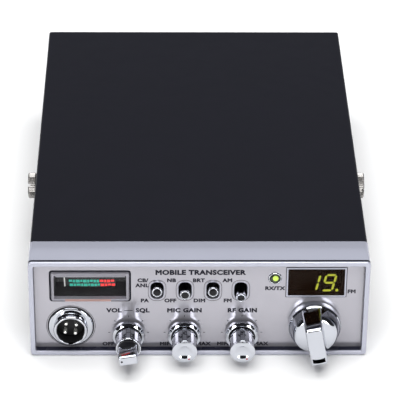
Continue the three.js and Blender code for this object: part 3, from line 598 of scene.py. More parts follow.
def thumb_screws():
    """Knurled heads with a coin slot, on rubber washers."""
    for side, slot_angle in SLOT_ANGLES.items():
        node = f"thumb_screw_{side}"
        low, high = extent(node)
        outer = high.x if side == "right" else low.x
        y, z = (low.y + high.y) / 2, (low.z + high.z) / 2
        radius, length = (high.z - low.z) / 2, high.x - low.x
        head, shank = 4.0, 2.3
        grip = turned(0, 0, [(radius - 0.9, 0), (radius - 0.4, 0.05, 0.1), (radius, 0.5, 0.2),
                             (radius, head - 0.4, 0.2),
                             (radius - 0.5, head, 0.1), (radius - 0.9, head)], 264, knurl)
        core = turned(0, 0, [(0, 0.25), (radius - 1.5, 0.25), (radius - 0.8, -0.0, 0.1), (radius - 0.8, head),
                             (shank, head), (shank, length - 1), (shank - 0.7, length), (0, length)], 64)
        slot = swung(block((-7, -1, -0.7), (7, 1.2, 0.7)), slot_angle, "Y", (0, 0, 0))
        both = merged(node, [carved(node, grip, [slot]), carved(node, core, [slot])])
        lay_on_side(both, outer, y, z)
        piece(f"bracket_screw_{side}", both, KNURLED_STEEL, f"{side}_thumb_screw", node, "black_steel",
              sharp=40)
        node = f"washer_{side}"
        low, high = extent(node)
        outer = high.x if side == "right" else low.x
        thick = high.x - low.x
        ring = turned(0, 0, [(2.8, 0), (6.4, 0, 0.4), (6.4, thick, 0.4), (2.8, thick)], 48, closed=True)
        mesh = mesh_of(node, ring)
        lay_on_side(mesh, outer, y, z)
        piece(f"rubber_{node}", mesh, RUBBER, f"{side}_washer", node, "rubber")


# ---------------------------------------------------------------- knobs


RIBS = 18


def facets(radius, groove=0.22):
    """Flat ribs parted by fine grooves: how much to take off the radius at an angle."""
    half = math.pi / RIBS

    def taken(angle):
        across = (angle + half) % (2 * half) - half
        flat = radius * (1 - math.cos(half) / math.cos(across))
        return flat + (groove if abs(across) > 0.86 * half else 0)

    return taken


def ribbed_grip(x, z, radius, y0, y1):
    """The ribbed side of a knob, from y0 to y1."""
    profile = [(radius - 0.3, y0), (radius, y0 + 0.3, 0.2), (radius, y1)]
    return turned(x, z, profile, RIBS * 14, facets(radius))


def knob_flange(x, z, radius, body):
    """The turned foot of a knob: a short edge, a bevel and a deep groove round the grip."""
    return turned(x, z, [(3.2, 2.5), (radius, 2.5, 0.15), (radius, 0.35, 0.25), (radius - 1.25, -0.45, 0.2),
                         (body + 0.45, -0.4, 0.1), (body + 0.4, 1.6), (3.2, 1.6)], closed=True)


def grip_groove(name, body_name, body, radius):
    """The shadow-black floor of the groove between a knob's foot and its grip."""
    x, z = axis_of(body)
    ring = turned(x, z, [(radius - 0.7, 0.75), (radius + 0.42, 0.75), (radius + 0.42, 1.5),
                         (radius - 0.7, 1.5)], closed=True)
    piece(name, ring, BLACK_INLAY_AND_SHADE, body_name, slot="chrome")


def gain_knob(body):
    """A ribbed knob with a dished cap and a red dot."""
    x, z = axis_of(body)
    low, _ = extent(f"{body}_knob")
    front = low.y
    grip = 5.75
    dish_radius, dish_curve = 3.5, 6.9
    dish_depth = dish_curve - math.sqrt(dish_curve ** 2 - dish_radius ** 2)
    dish = []
    for i in range(9):
        r = dish_radius * (1 - i / 8)
        dish.append((r, front + 0.12 + dish_depth - dish_curve + math.sqrt(dish_curve ** 2 - r ** 2)))
    cap = turned(x, z, [(grip - 0.8, front + 1.6), (grip + 0.05, front + 1.4, 0.1),
                        (grip + 0.1, front + 0.5, 0.2),
                        (dish_radius + 0.5, front, 0.3), *dish])
    core = turned(x, z, [(3.3, 2.4), (5.0, 2.4), (5.0, front + 2), (3.3, front + 2)], closed=True)
    grip_part = ribbed_grip(x, z, grip, front + 1.5, 1.5)
    knob = joined(knob_flange(x, z, 7.75, grip), core, grip_part, cap)
    piece(f"{body}_knob_turned", knob, CHROME, body, f"{body}_knob", "chrome", sharp=12)
    grip_groove(f"{body}_knob_groove", body, body, grip)
    mark = turned(x + 2.0, z - 3.6, [(0, front), (0.45, front + 0.02, 0.1), (0.45, front + 0.6),
                                     (0, front + 0.6)], 20)
    piece(f"{body}_knob_dot", mark, RED_INLAY, body, slot="chrome")


def squelch_knob():
    """The outer ribbed knob, with a dark recess in its front."""
    x, z = axis_of("squelch")
    low, _ = extent("squelch_knob")
    front = low.y
    grip = 5.9
    recess = 5.15
    floor = front + 2.4
    rim = turned(x, z, [(3.3, 2.4), (grip - 0.6, 2.4), (grip - 0.6, front + 0.6),
                        (grip - 0.1, front + 0.45, 0.1),
                        (grip - 0.1, front, 0.2), (recess, front, 0.2), (recess, floor), (3.3, floor)],
                        closed=True)
    knob = joined(knob_flange(x, z, 7.5, grip - 0.1), ribbed_grip(x, z, grip, front + 0.4, 1.5), rim)
    piece("squelch_knob_turned", knob, CHROME, "squelch", "squelch_knob", "chrome", sharp=12)
    grip_groove("squelch_knob_groove", "squelch", "squelch", grip - 0.1)
    liner = turned(x, z, [(recess + 0.02, front + 0.25), (recess + 0.02, floor + 0.05),
                          (3.4, floor + 0.05), (3.4, floor - 0.05),
                          (recess - 0.08, floor - 0.05), (recess - 0.08, front + 0.25)], closed=True)
    piece("squelch_knob_recess", liner, BLACK_INLAY_AND_SHADE, "squelch", slot="chrome")


def bar_loop(x, z, width, length, y, rounding):
    """A rounded rectangle across a knob's bar, at depth y."""
    shape = outline(x - width / 2, x + width / 2, z - length / 2, z + length / 2, rounding)
    return [(px, y, pz) for px, pz in shape]


VOLUME_POINTER = -100
CHANNEL_POINTER = 169.3


def volume_knob():
    """The small finger bar in front of the squelch knob."""
    x, z = axis_of("volume")
    low, high = extent("volume_knob")
    front = low.y
    disc = turned(x, z, [(2.3, high.y), (4.8, high.y, 0.2), (4.8, high.y - 2.6, 0.3), (0, high.y - 2.6)])
    width, length = 5.0, 8.7
    steps = [(0.0, -9.9), (0.0, front + 1.2), (0.12, front + 0.55), (0.45, front + 0.12), (0.8, front)]
    blade = loft([bar_loop(x, z, width - 2 * inset, length - 2 * inset, y, 0.8) for inset, y in steps])
    blade = swung(blade, VOLUME_POINTER, "Y", (x, 0, z))
    piece("volume_knob_blade", blade, CHROME, "volume", "volume_knob", "chrome")
    piece("volume_knob_disc", disc, BLACK_INLAY_AND_SHADE, "volume", slot="chrome")
    dot = turned(x, z + 2.9, [(0, front - 0.02), (0.5, front - 0.02), (0.5, front + 0.4),
                              (0, front + 0.4)], 20)
    dot = swung(dot, VOLUME_POINTER, "Y", (x, 0, z))
    piece("volume_knob_dot", moved(dot, Matrix.Translation((0, 0.02, 0))), BLACK_INLAY_AND_SHADE, "volume",
          slot="chrome")


def channel_knob():
    """A round skirt and cone with a long finger bar."""
    x, z = axis_of("channel")
    low, high = extent("channel_knob")
    front, rear = low.y, high.y
    skirt = turned(x, z, [(3.4, rear), (12.2, rear, 0.2), (12.2, -0.2, 0.45), (11.5, -0.75, 0.4),
                          (9.9, -7.2, 2.2),
                          (0, -8.1)], 96)
    steps = [(22.0, 9.4, -0.6), (21.0, 8.5, -9.0), (20.1, 7.7, front + 1.3), (19.6, 7.3, front + 0.5),
             (18.9, 6.7, front + 0.1), (18.2, 6.1, front)]
    bar = loft([bar_loop(x, z, width, length, y, 1.1) for length, width, y in steps])
    knob = joined(skirt, swung(bar, CHANNEL_POINTER, "Y", (x, 0, z)))
    piece("channel_knob_bar", knob, CHROME, "channel", "channel_knob", "chrome")
    stripe = []
    for radius in (9.9, 7.7):
        for i in range(9):
            across = -2.9 + 5.8 * i / 8
            height = math.sqrt(radius ** 2 - across ** 2) - 1.3
            stripe.append((x + across, z + height))
    stripe = stripe[:9] + stripe[:8:-1]
    mark = swung(prism(stripe, front - 0.02, front + 0.3), CHANNEL_POINTER, "Y", (x, 0, z))
    piece("channel_knob_stripe", moved(mark, Matrix.Translation((0, 0.02, 0))), BLACK_INLAY_AND_SHADE, "channel",
          slot="chrome")


# ---------------------------------------------------------------- toggle switches


REST_ANGLES = {"pa_toggle": -10, "noise_toggle": 0, "dimmer_toggle": -10, "mode_toggle": 10}


def toggle_levers():
    """Chromed bats that widen towards a slightly domed end."""
    pivot_y = 9.0
    for body in TOGGLE_BODIES:
        x, z = axis_of(body)
        end = -9.4
        profile = [(0, 1.9), (1.35, 1.35), (1.9, 0), (1.5, -1.4), (1.75, -2.8), (2.0, -5.0),
                   (2.5, end + 0.7, 0.5),
                   (2.42, end + 0.25, 0.2), (2.05, end + 0.02, 0.15), (1.95, end + 0.2), (0, end + 0.3)]
        # Painted reflection: a black disc on each bat's end stands in for the dark reflection in a dimpled
        # chrome end.
        painted_dark_end_profile = [(0, end + 0.02), (1.2, end + 0.06), (1.85, end + 0.2, 0.2), (1.9, end + 0.5),
                       (0, end + 0.5)]
        parts = (("bat", profile, CHROME, f"{body}_lever"), ("tip", painted_dark_end_profile, BLACK_INLAY_AND_SHADE, ()))
        for name, shape, material, stands_for in parts:
            solid = swung(turned(x, 0, shape, 40), REST_ANGLES[body], "X", (x, 0, 0))
            solid = moved(solid, Matrix.Translation((0, pivot_y, z)))
            piece(f"{body}_{name}", solid, material, body, stands_for, "chrome")


def toggle_surrounds():
    """A fine printed line and a raised lip round each slot."""
    width, height = TOGGLE_HOLE
    panel_front = extent("front_panel")[0].y
    for body in TOGGLE_BODIES:
        x, z = axis_of(body)

        def ring(grow_in, grow_out):
            return [outline(x - width / 2 - grow, x + width / 2 + grow, z - height / 2 - grow,
                            z + height / 2 + grow,
                            width / 2 + grow, steps=10) for grow in (grow_out, grow_in)]

        lip = plate("lip", ring(0.02, 0.35), panel_front - 0.2, panel_front + 0.05, 0.08)
        piece(f"{body}_lip", lip, SILVER_PAINT, slot="panel_silver")
        line = plate("line", ring(0.95, 1.15), panel_front - PRINT_DEPTH, panel_front + 0.02, 0.01)
        piece(f"{body}_line", line, PRINT_INK_AND_SHADE, slot="panel_silver")


# ---------------------------------------------------------------- meter


NEEDLE_REST = -42


def meter():
    """The meter's lens and frame."""
    low, high = extent("meter_lens")
    inner, bevel, pane = 1.0, 0.9, 1.2

    def loop(inset, y, rounding):
        shape = outline(low.x + inset, high.x - inset, low.z + inset, high.z - inset, rounding)
        return [(x, y, z) for x, z in shape]

    frame_loops = [loop(0, high.y, 1.0), loop(0, low.y + bevel, 1.0),
                   loop(bevel * 0.3, low.y + bevel * 0.3, 1.0),
                   loop(bevel, low.y, 0.8), loop(bevel + 0.5, low.y, 0.6),
                   loop(inner + 0.4, low.y + pane, 0.5),
                   loop(inner, low.y + pane + 0.3, 0.5), loop(inner, high.y, 0.5)]
    # Painted highlight: the pale half-opaque frame stands in for the glints on the lens bevels.
    piece("meter_lens_edge", loft(frame_loops, closed=True), CLEAR_EDGE_PAINTED_HIGHLIGHT, stands_for="meter_lens",
          slot="clear_plastic", sharp=30)
    pane_loops = [loop(bevel + 0.5, low.y, 0.6), loop(inner + 0.5, low.y + pane, 0.5)]
    piece("meter_lens_pane", loft(pane_loops), CLEAR_PLASTIC, slot="clear_plastic", sharp=30)
    # Painted reflection: a rosy block at the lens's lower edge stands in for the red-tinted reflection there.
    rosy_reflection = block((low.x + 6.5, low.y - 0.02, low.z + 0.1), (high.x - 8.5, low.y + 0.5, low.z + 1.3))
    piece("meter_lens_painted_reflection", rosy_reflection, ROSY_PAINTED_REFLECTION, slot="clear_plastic")
    # Painted shadow: a black ring on the panel round the lens stands in for the shadow gap between the lens
    # and its hole.
    outside = [outline(low.x - grow, high.x + grow, low.z - grow, high.z + grow,
                       1.0 + grow) for grow in (0.8, 0.05)]
    line = plate("line", outside, 3.96, 4.03, 0.01)
    piece("meter_painted_shadow_ring", line, PRINT_INK_AND_SHADE, slot="panel_silver")
    bar = block((low.x + 2.0, low.y + 1.6, high.z - 3.2), (high.x - 2.0, low.y + 2.8, high.z - 2.6))
    piece("meter_inner_bar", bar, GREY_METAL, slot="clear_plastic", edges=0.1)
    meter_scale()
    meter_needle()


def needle_axis():
    """The (x, y) of the needle's pivot."""
    x, y, _ = JOINTS["needle"]["pos_m"]
    return x / MM, (y - FRONT) / MM


CARD_DEPTH, CARD_BOW, CARD_REACH = 7.6, 1.5, 11.6


def card_strip(x_range, z_range, proud=0.0, thickness=0.6, arch=0.0):
    """A strip of the gently bowed card. arch lowers its ends as the card falls back."""
    axis_x, _ = needle_axis()
    steps = 16
    loops = []
    for i in range(steps + 1):
        x = x_range[0] + (x_range[1] - x_range[0]) * i / steps
        bow = CARD_BOW * ((x - axis_x) / CARD_REACH) ** 2
        y = CARD_DEPTH + bow - proud
        low, high = (z - arch * bow for z in z_range)
        loops.append([(x, y, low), (x, y, high), (x, y + thickness, high), (x, y + thickness, low)])
    return loft(loops)


STRIP_ENDS = (-60.3, -39.0)
STRIP_SPLIT = -46.0
STRIP_ROWS = [(35.9, 37.35), (33.85, 35.2)]
BLOCK_LENGTHS = [1.9, 1.3, 2.2, 1.2, 2.0, 1.2, 1.7, 1.4, 1.4, 2.1, 1.3, 1.7, 1.9]


def meter_scale():
    """A black card with green and red strips, their ticks, and a backing on both sides."""
    low, high = extent("meter_scale")
    axis_x, _ = needle_axis()
    card = card_strip((axis_x - CARD_REACH, axis_x + CARD_REACH), (low.z - 0.9, high.z))
    backing = block((low.x, 10.6, low.z), (high.x, 11.2, high.z))
    piece("meter_card", joined(card, backing), SCALE_BLACK, stands_for="meter_scale", slot="scale_card")
    greens, reds = [], []
    for row, (bottom, top) in enumerate(STRIP_ROWS):
        for i, length in enumerate(BLOCK_LENGTHS):
            start = STRIP_ENDS[0] + sum(BLOCK_LENGTHS[:i]) + 0.4 * row
            lift = 0.3 if (i + row) % 3 == 0 else 0.0
            block_strip = card_strip((start, start + length - 0.3), (bottom + lift, top), 0.05, 0.06,
                                     arch=0.6)
            (greens if start + length < STRIP_SPLIT + 0.5 else reds).append(block_strip)
    piece("meter_green_scale", joined(*greens), GREEN_PRINT_PAINTED_GLOW, slot="scale_card")
    piece("meter_red_scale", joined(*reds), RED_PRINT_PAINTED_GLOW, slot="scale_card")


def meter_needle():
    """A light pointer on a black hub, leaning a little where it stands in front of the scale."""
    low, high = extent("meter_needle")
    axis_x, axis_y = needle_axis()
    radius, arm_low = 18.0, low.z + 0.4
    hub = turned(0, 0, [(0.6, 0), (2.0, 0.4, 0.2), (2.0, 6.8, 0.2), (0.6, 7.2)], 32)
    hub = moved(hub, Matrix.Translation((0, 0, arm_low - 0.4)) @ Matrix.Rotation(math.radians(90), 4, "X"))
    arm = block((-0.35, -radius, arm_low), (0.35, 3.2, arm_low + 0.9))
    swing = Matrix.Translation((axis_x, axis_y, 0)) @ Matrix.Rotation(math.radians(NEEDLE_REST), 4, "Z")
    piece("meter_hub", moved(joined(hub, arm), swing), BLACK_PLASTIC, "needle", "meter_needle",
          "black_plastic")
    lean = 0.5
    blade = loft([[(x + lean * (1 if z < 36 else -1) * 0.4, y, z)
                   for x, y in ((-0.22, -radius - 0.25), (0.22, -radius - 0.25), (0.22, -radius + 0.2),
                                (-0.22, -radius + 0.2))]
                  for z in (arm_low, high.z)])
    piece("meter_pointer", moved(blade, swing), WHITE_PRINT_PAINTED_GLOW, "needle", slot="black_plastic")


# ---------------------------------------------------------------- microphone socket


def thread(pitch, depth):
    """A profile's ripple along its length: how much a thread takes off at y."""
    return lambda y: depth * (1 - abs(2 * ((y / pitch) % 1) - 1))


def mic_socket():
    """The microphone socket: shell, insert and pins."""
    low, high = extent("mic_socket_shell")
    x, z = (low.x + high.x) / 2, (low.z + high.z) / 2
    shell, bore, flange, front, seat = 8.0, 6.6, 10.5, low.y, 3.7
    profile = [(bore, front + 0.3), (bore + 0.35, front, 0.1), (shell - 0.45, front, 0.3),
               (shell - 0.05, front + 0.6, 0.3),
               (shell - 0.05, seat - 0.8, 0.1), (flange - 0.5, seat - 0.8, 0.3), (flange, seat - 0.4, 0.2),
               (flange, seat, 0.1), (shell, seat), (shell, high.y), (bore, high.y)]
    ring = turned(x, z, profile, 96, closed=True)
    notch = block((x - 1.1, front - 1, z - bore - 0.8), (x + 1.1, 5, z - bore + 1))
    mesh = carved("mic", ring, [notch])
    piece("mic_socket_ring", mesh, CHROME, stands_for="mic_socket_shell", slot="chrome", sharp=40)
    liner = turned(x, z, [(bore + 0.02, front + 0.6), (bore + 0.02, 5.0), (bore - 0.06, 5.0),
                          (bore - 0.06, front + 0.6)], 64,
                   closed=True)
    piece("mic_socket_liner", liner, BLACK_PLASTIC, slot="black_plastic")
    gasket = turned(x, z, [(shell + 0.2, seat - 0.02), (flange + 0.35, seat - 0.02, 0.1),
                           (flange + 0.35, 4.0),
                           (shell + 0.2, 4.0)], 64, closed=True)
    piece("mic_socket_gasket", gasket, BLACK_PLASTIC, slot="black_plastic")
    # Painted shadow: a thin black ring on the panel just outside the flange stands in for the shadow at its
    # edge.
    line = plate("line", [circle(x, z, flange + 0.95, 64), circle(x, z, flange + 0.75, 64)], 3.97, 4.02, 0.01)
    piece("mic_socket_painted_shadow", line, PRINT_INK_AND_SHADE, slot="panel_silver")
    low, high = extent("mic_socket_insert")
    holes = []
    for number in (1, 2, 3, 4):
        node = f"mic_pin_{number}"
        pin_low, pin_high = extent(node)
        px, pz = (pin_low.x + pin_high.x) / 2, (pin_low.z + pin_high.z) / 2
        holes.append(turned(px, pz, [(1.25, low.y - 1), (1.25, high.y + 1)], 24))
        pin = turned(px, pz, [(0, pin_low.y), (0.75, pin_low.y + 0.15, 0.3), (0.95, pin_low.y + 0.8),
                              (0.95, pin_high.y),
                              (0, pin_high.y)], 24)
        piece(f"mic_contact_{number}", pin, PIN_SILVER, stands_for=node, slot="chrome")
    insert = carved("insert", turned(x, z, [(0, low.y), (6.3, low.y, 0.2), (6.3, high.y), (0, high.y)],
                                     64), holes)
    piece("mic_socket_disc", insert, BLACK_PLASTIC, stands_for="mic_socket_insert", slot="black_plastic")


# ---------------------------------------------------------------- display and lamp


# The lit strokes of each figure, from a to g: top, upper right, lower right, bottom, lower left,
# upper left, middle.
SEGMENTS = {
    "1": "bc",
    "9": "abcdfg",
}


def stroke(start, end, width, gap):
    """A display stroke with pointed ends between two (x, z) places, short of both by a gap."""
    start, end = Vector(start), Vector(end)
    along = (end - start).normalized()
    start, end = start + along * gap, end - along * gap
    across = Vector((-along.y, along.x)) * width / 2
    tip = along * width / 2
    return [start, start + tip + across, end - tip + across, end, end - tip - across, start + tip - across]


def figure(character, x, z, width, height, slant, thick, y):
    """A seven-stroke figure whose lower left corner is at (x, z)."""
    middle = height / 2
    places = {
        "a": ((0, height), (width, height)), "b": ((width, height), (width, middle)),
        "c": ((width, middle), (width, 0)), "d": ((0, 0), (width, 0)), "e": ((0, 0), (0, middle)),
        "f": ((0, middle), (0, height)), "g": ((0, middle), (width, middle)),
    }
    strokes = []
    for letter in SEGMENTS[character]:
        shape = [(x + p.x + slant * p.y, z + p.y) for p in stroke(*places[letter], thick, 0.22)]
        strokes.append(prism(shape, y, y + 0.1))
    return strokes


DIGIT_PLACE = (32.3, 8.5, 0.22, 1.05)  # bottom, height, slant and stroke width
DIGIT_WIDTH = 4.6
ONE_X, NINE_X, DOT_X = 54.2, 57.0, 63.9


def display():
    """The dark window and the lit figures."""
    low, high = extent("display_filter")
    shape = outline(low.x, high.x, low.z, high.z, 0.5)
    loops = [[(x, high.y, z) for x, z in shape], [(x, low.y + 0.25, z) for x, z in shape],
             [(x, low.y, z) for x, z in outline(low.x + 0.25, high.x - 0.25, low.z + 0.25, high.z - 0.25,
                                                0.4)]]
    piece("display_window", loft(loops), DARK_FILTER, stands_for="display_filter", slot="dark_filter")
    bottom, tall, slant, thick = DIGIT_PLACE
    digit_y = high.y + 0.15
    strokes = figure("1", ONE_X - DIGIT_WIDTH, bottom, DIGIT_WIDTH, tall, slant, thick, digit_y)
    strokes += figure("9", NINE_X, bottom, DIGIT_WIDTH, tall, slant, thick, digit_y)
    point = circle(DOT_X, bottom + 0.15, 0.75, 20)
    strokes.append(prism(point, digit_y, digit_y + 0.1))
    piece("display_figures", joined(*strokes), DIGIT_GLOW, slot="grey_plastic")
    bezel = [outline(low.x - grow, high.x + grow, low.z - grow, high.z + grow, 0.2) for grow in (0.75, 0.05)]
    lip = plate("display_lip", bezel, 3.75, 4.0, 0.08)
    piece("display_lip", lip, SILVER_PAINT, slot="panel_silver")
    outside = [outline(low.x - grow, high.x + grow, low.z - grow, high.z + grow, 0.3) for grow in (1.1, 0.8)]
    piece("display_outline", plate("line", outside, 3.97, 4.02, 0.01), PRINT_INK_AND_SHADE, slot="panel_silver")


def status_lamp():
    """The green lamp in its collar."""
    low, high = extent("status_led")
    x, z = (low.x + high.x) / 2, (low.z + high.z) / 2
    lens = turned(x, z, [(0, low.y + 0.5), (1.3, low.y + 0.65), (2.0, low.y + 1.0),
                         (2.35, low.y + 1.6, 0.3), (2.4, 4.2),
                         (2.4, high.y), (0, high.y)], 40)
    piece("lamp_lens", lens, LAMP_BODY, stands_for="status_led", slot="lamp_green", sharp=60)
    core = turned(x + 0.15, z + 0.55, [(0, low.y), (0.7, low.y + 0.12), (1.2, low.y + 0.45),
                                       (1.4, low.y + 0.9), (1.4, low.y + 1.6),
                                      (0, low.y + 1.6)], 32)
    piece("lamp_core", core, LAMP_CORE, slot="lamp_green", sharp=60)
    collar = turned(x, z, [(2.4, 3.5), (2.6, 3.3, 0.1), (2.8, 3.3, 0.1), (3.2, 3.7, 0.1), (3.2, 3.98),
                           (2.4, 3.98)], 40,
                    closed=True)
    piece("lamp_collar", collar, CHROME, slot="chrome")


# ---------------------------------------------------------------- printing on the panel


TITLE_HEIGHT, LABEL_HEIGHT, SMALL_HEIGHT = 2.5, 2.2, 1.9
STROKE_WEIGHT = 0.075  # how much bolder the letters get, as a share of their height
LABELS = [
    ("MOBILE TRANSCEIVER", 0.5, 43.6, TITLE_HEIGHT), ("CB/", -26.0, 39.3, SMALL_HEIGHT),
    ("ANL", -26.3, 36.5, SMALL_HEIGHT), ("PA", -25.2, 28.1, SMALL_HEIGHT), ("NB", -12.8, 39.3, SMALL_HEIGHT),
    ("OFF", -13.3, 28.1, SMALL_HEIGHT), ("BRT", -0.2, 39.3, SMALL_HEIGHT), ("DIM", 0.2, 28.1, SMALL_HEIGHT),
    ("AM", 13.1, 39.3, SMALL_HEIGHT), ("FM", 13.3, 28.1, SMALL_HEIGHT), ("VOL", -39.4, 22.6, LABEL_HEIGHT),
    ("SQL", -26.2, 22.6, LABEL_HEIGHT), ("MIC GAIN", -6.7, 22.6, LABEL_HEIGHT),
    ("RF GAIN", 20.2, 22.6, LABEL_HEIGHT),
    ("OFF", -42.3, 3.75, SMALL_HEIGHT), ("MIN", -15.4, 3.75, SMALL_HEIGHT), ("MAX", 2.2, 3.75, SMALL_HEIGHT),
    ("MIN", 11.4, 3.75, SMALL_HEIGHT), ("MAX", 29.2, 3.75, SMALL_HEIGHT), ("RX/TX", 35.0, 34.9, SMALL_HEIGHT),
    ("FM", 70.6, 33.1, SMALL_HEIGHT),
]


def bar_mark(start, end, width, y):
    """A printed line between two (x, z) places."""
    start, end = Vector(start), Vector(end)
    across = Vector((start.y - end.y, end.x - start.x)).normalized() * width / 2
    return prism([start + across, end + across, end - across, start - across], y - PRINT_DEPTH, y)


def panel_printing():
    """The panel's labels and scale marks."""
    y = extent("front_panel")[0].y
    letters = [text_mesh(words, x, z, height, y, width=1.12, weight=height * STROKE_WEIGHT)
               for words, x, z, height in LABELS]
    piece("panel_labels", merged("labels", letters), PRINT_INK_AND_SHADE, slot="panel_silver")
    marks = []
    for body, radius in (("volume", 8.6), ("mic_gain", 8.8), ("rf_gain", 8.8)):
        x, z = axis_of(body)
        for step in range(-3, 4):
            angle = math.radians(45 * step)
            ends = [(x + r * math.sin(angle), z + r * math.cos(angle)) for r in (radius, radius + 0.9)]
            marks.append(bar_mark(*ends, 0.3, y))
    marks.append(bar_mark((-34.6, 22.6), (-30.8, 22.6), 0.3, y))
    piece("panel_marks", joined(*marks), PRINT_INK_AND_SHADE, slot="panel_silver")


# ---------------------------------------------------------------- rear sockets


def antenna_socket():
    """The antenna socket at the rear."""
    low, high = extent("antenna_socket")
    x, z = (low.x + high.x) / 2, (low.z + high.z) / 2
    rear_face, thick, half = 229.8, 1.6, 12.7
    corners = [(x + sx * 9.1, z + sz * 9.1) for sx in (-1, 1) for sz in (-1, 1)]
    edge = outline(x - half, x + half, z - half, z + half, 1.2)
    flange = plate("flange", [edge, circle(x, z, 6.5)], rear_face, rear_face + thick, 0.2)
    cut_depth = thread(1.06, 0.45)
    count = int((high.y - 233) / 0.265)
    threads = [(7.9 - cut_depth(0.265 * i), 232.4 + 0.265 * i) for i in range(count)]
    barrel = turned(x, z, [(5.9, low.y), (7.0, low.y), (7.0, rear_face), (7.5, rear_face + thick), *threads,
                           (7.4, high.y - 0.3), (7.0, high.y, 0.2), (6.1, high.y, 0.1),
                           (5.9, high.y - 0.3)], 64, closed=True)
    notches = []
    for i in range(8):
        notch = block((x - 0.6, high.y - 0.9, z + 5), (x + 0.6, high.y + 1, z + 9))
        notches.append(swung(notch, 45 * i + 22.5, "Y", (x, 0, z)))
    barrel_mesh = carved("barrel", barrel, notches)
    piece("antenna_barrel", merged("antenna", [flange, barrel_mesh]), CHROME, stands_for="antenna_socket",
          slot="chrome", sharp=40)
    screws = []
    for cx, cz in corners:
        top = rear_face + thick + 1.3
        screws.append(turned(cx, cz, [(0, top), (1.2, top, 0.2), (2.3, top - 0.8, 0.4),
                                      (2.3, rear_face + thick),
                                      (0, rear_face + thick)], 28))
    slots = [block((cx - 3, rear_face + thick + 0.7, cz - 0.3), (cx + 3, rear_face + thick + 3, cz + 0.3))
             for cx, cz in corners]
    piece("antenna_flange_screws", carved("screws", joined(*screws), slots), SHAFT_STEEL, slot="steel")
    low, high = extent("antenna_insert")
    insert = turned(x, z, [(2.0, 230.2), (2.0, high.y - 0.3), (2.3, high.y, 0.1), (5.5, high.y, 0.3),
                           (5.6, low.y), (0, low.y),
                           (0, 230)], 48, closed=True)
    piece("antenna_core", insert, WHITE_PLASTIC, stands_for="antenna_insert", slot="white_plastic")
    contact = turned(x, z, [(1.3, 229.6), (1.3, high.y + 0.6), (1.95, high.y + 0.6, 0.1), (1.95, 229.6)],
                     32, closed=True)
    piece("antenna_contact", contact, BRASS, slot="chrome")


def power_inlet():
    """The power inlet at the rear."""
    low, high = extent("power_inlet")
    x, z = (low.x + high.x) / 2, (low.z + high.z) / 2
    rear_face = 229.8
    flange = prism(outline(low.x, high.x, low.z, high.z, 1.5), rear_face, high.y)
    body = prism(outline(x - 11, x + 11, z - 6, z + 6, 0.6), low.y, rear_face + 0.1)
    well = prism(outline(x - 9.5, x + 9.5, z - 4.5, z + 4.5, 0.5), 221, high.y + 1)
    key = block((x - 2, 221, z + 4), (x + 2, high.y + 1, z + 5.2))
    mesh = merged("inlet", [carved("inlet", flange, [well, key]), carved("inlet", body, [well, key])])
    piece("power_inlet_shell", mesh, BLACK_PLASTIC, stands_for="power_inlet", slot="black_plastic",
          edges=0.25)
    pins = []
    for offset in (-6, 0, 6):
        loops = []
        for inset, y in ((0, 220.6), (0, 226.2), (0.4, 226.8)):
            loops.append(bar_loop(x + offset, z, 1.6 - inset, 1.6 - inset, y, 0.3))
        pins.append(loft(loops))
    piece("power_inlet_pins", joined(*pins), BRASS, slot="black_plastic")


def speaker_jacks():
    """The two speaker jacks at the rear."""
    for node in ("external_speaker_jack", "pa_speaker_jack"):
        low, high = extent(node)
        x, z = (low.x + high.x) / 2, (low.z + high.z) / 2
        rear_face = 229.8
        wall = 228.0
        body = block((x - 4.5, low.y, z - 4.5), (x + 4.5, wall, z + 4.5))
        bushing = turned(x, z, [(1.8, 217), (3.2, 217), (3.2, high.y - 0.25), (2.9, high.y, 0.1),
                                (2.1, high.y, 0.1),
                                (1.8, high.y - 0.3)], 40, closed=True)
        bore = turned(x, z, [(1.8, 217), (1.8, high.y + 1)], 32)
        mesh = merged(node, [carved(node, body, [bore]), mesh_of(node, bushing)])
        piece(f"{node}_body", mesh, BLACK_PLASTIC, stands_for=node, slot="black_plastic", edges=0.15)
        hexagon = [(x + 4.2 * math.cos(math.radians(60 * i)),
                    z + 4.2 * math.sin(math.radians(60 * i))) for i in range(6)]
        nut = plate("nut", [hexagon, circle(x, z, 3.25, 32)], rear_face, high.y - 0.7, 0.3)
        piece(f"{node}_nut", nut, SHAFT_STEEL, slot="black_plastic")


# ---------------------------------------------------------------- carried-over CAD nodes


INNER_LOOKS = {
    "chassis_frame": STEEL, "main_board": BOARD_GREEN, "audio_transformer": FERRITE,
    "heat_spreader": ALUMINIUM,
    "speaker_frame": FERRITE, "speaker_cone": PAPER, "display_module": BLACK_PLASTIC,
    "meter_case": BLACK_PLASTIC,
    "channel_switch": GREY_PLASTIC, "volume_squelch_pot": STEEL, "mic_gain_pot": STEEL, "rf_gain_pot": STEEL,
    "volume_shaft": SHAFT_STEEL, "squelch_shaft": SHAFT_STEEL, "mic_gain_shaft": SHAFT_STEEL,
    "rf_gain_shaft": SHAFT_STEEL, "channel_shaft": SHAFT_STEEL, "pa_toggle_switch": BLACK_PLASTIC,
    "noise_toggle_switch": BLACK_PLASTIC, "dimmer_toggle_switch": BLACK_PLASTIC,
    "mode_toggle_switch": BLACK_PLASTIC,
}


def inner_parts():
    """Sets the looks of the CAD nodes inside the case."""
    for node, material in INNER_LOOKS.items():
        thing = frame["nodes"][node]
        thing.data.materials.clear()
        thing.data.materials.append(material)
        shade(thing.data, 32)


# ---------------------------------------------------------------- stage


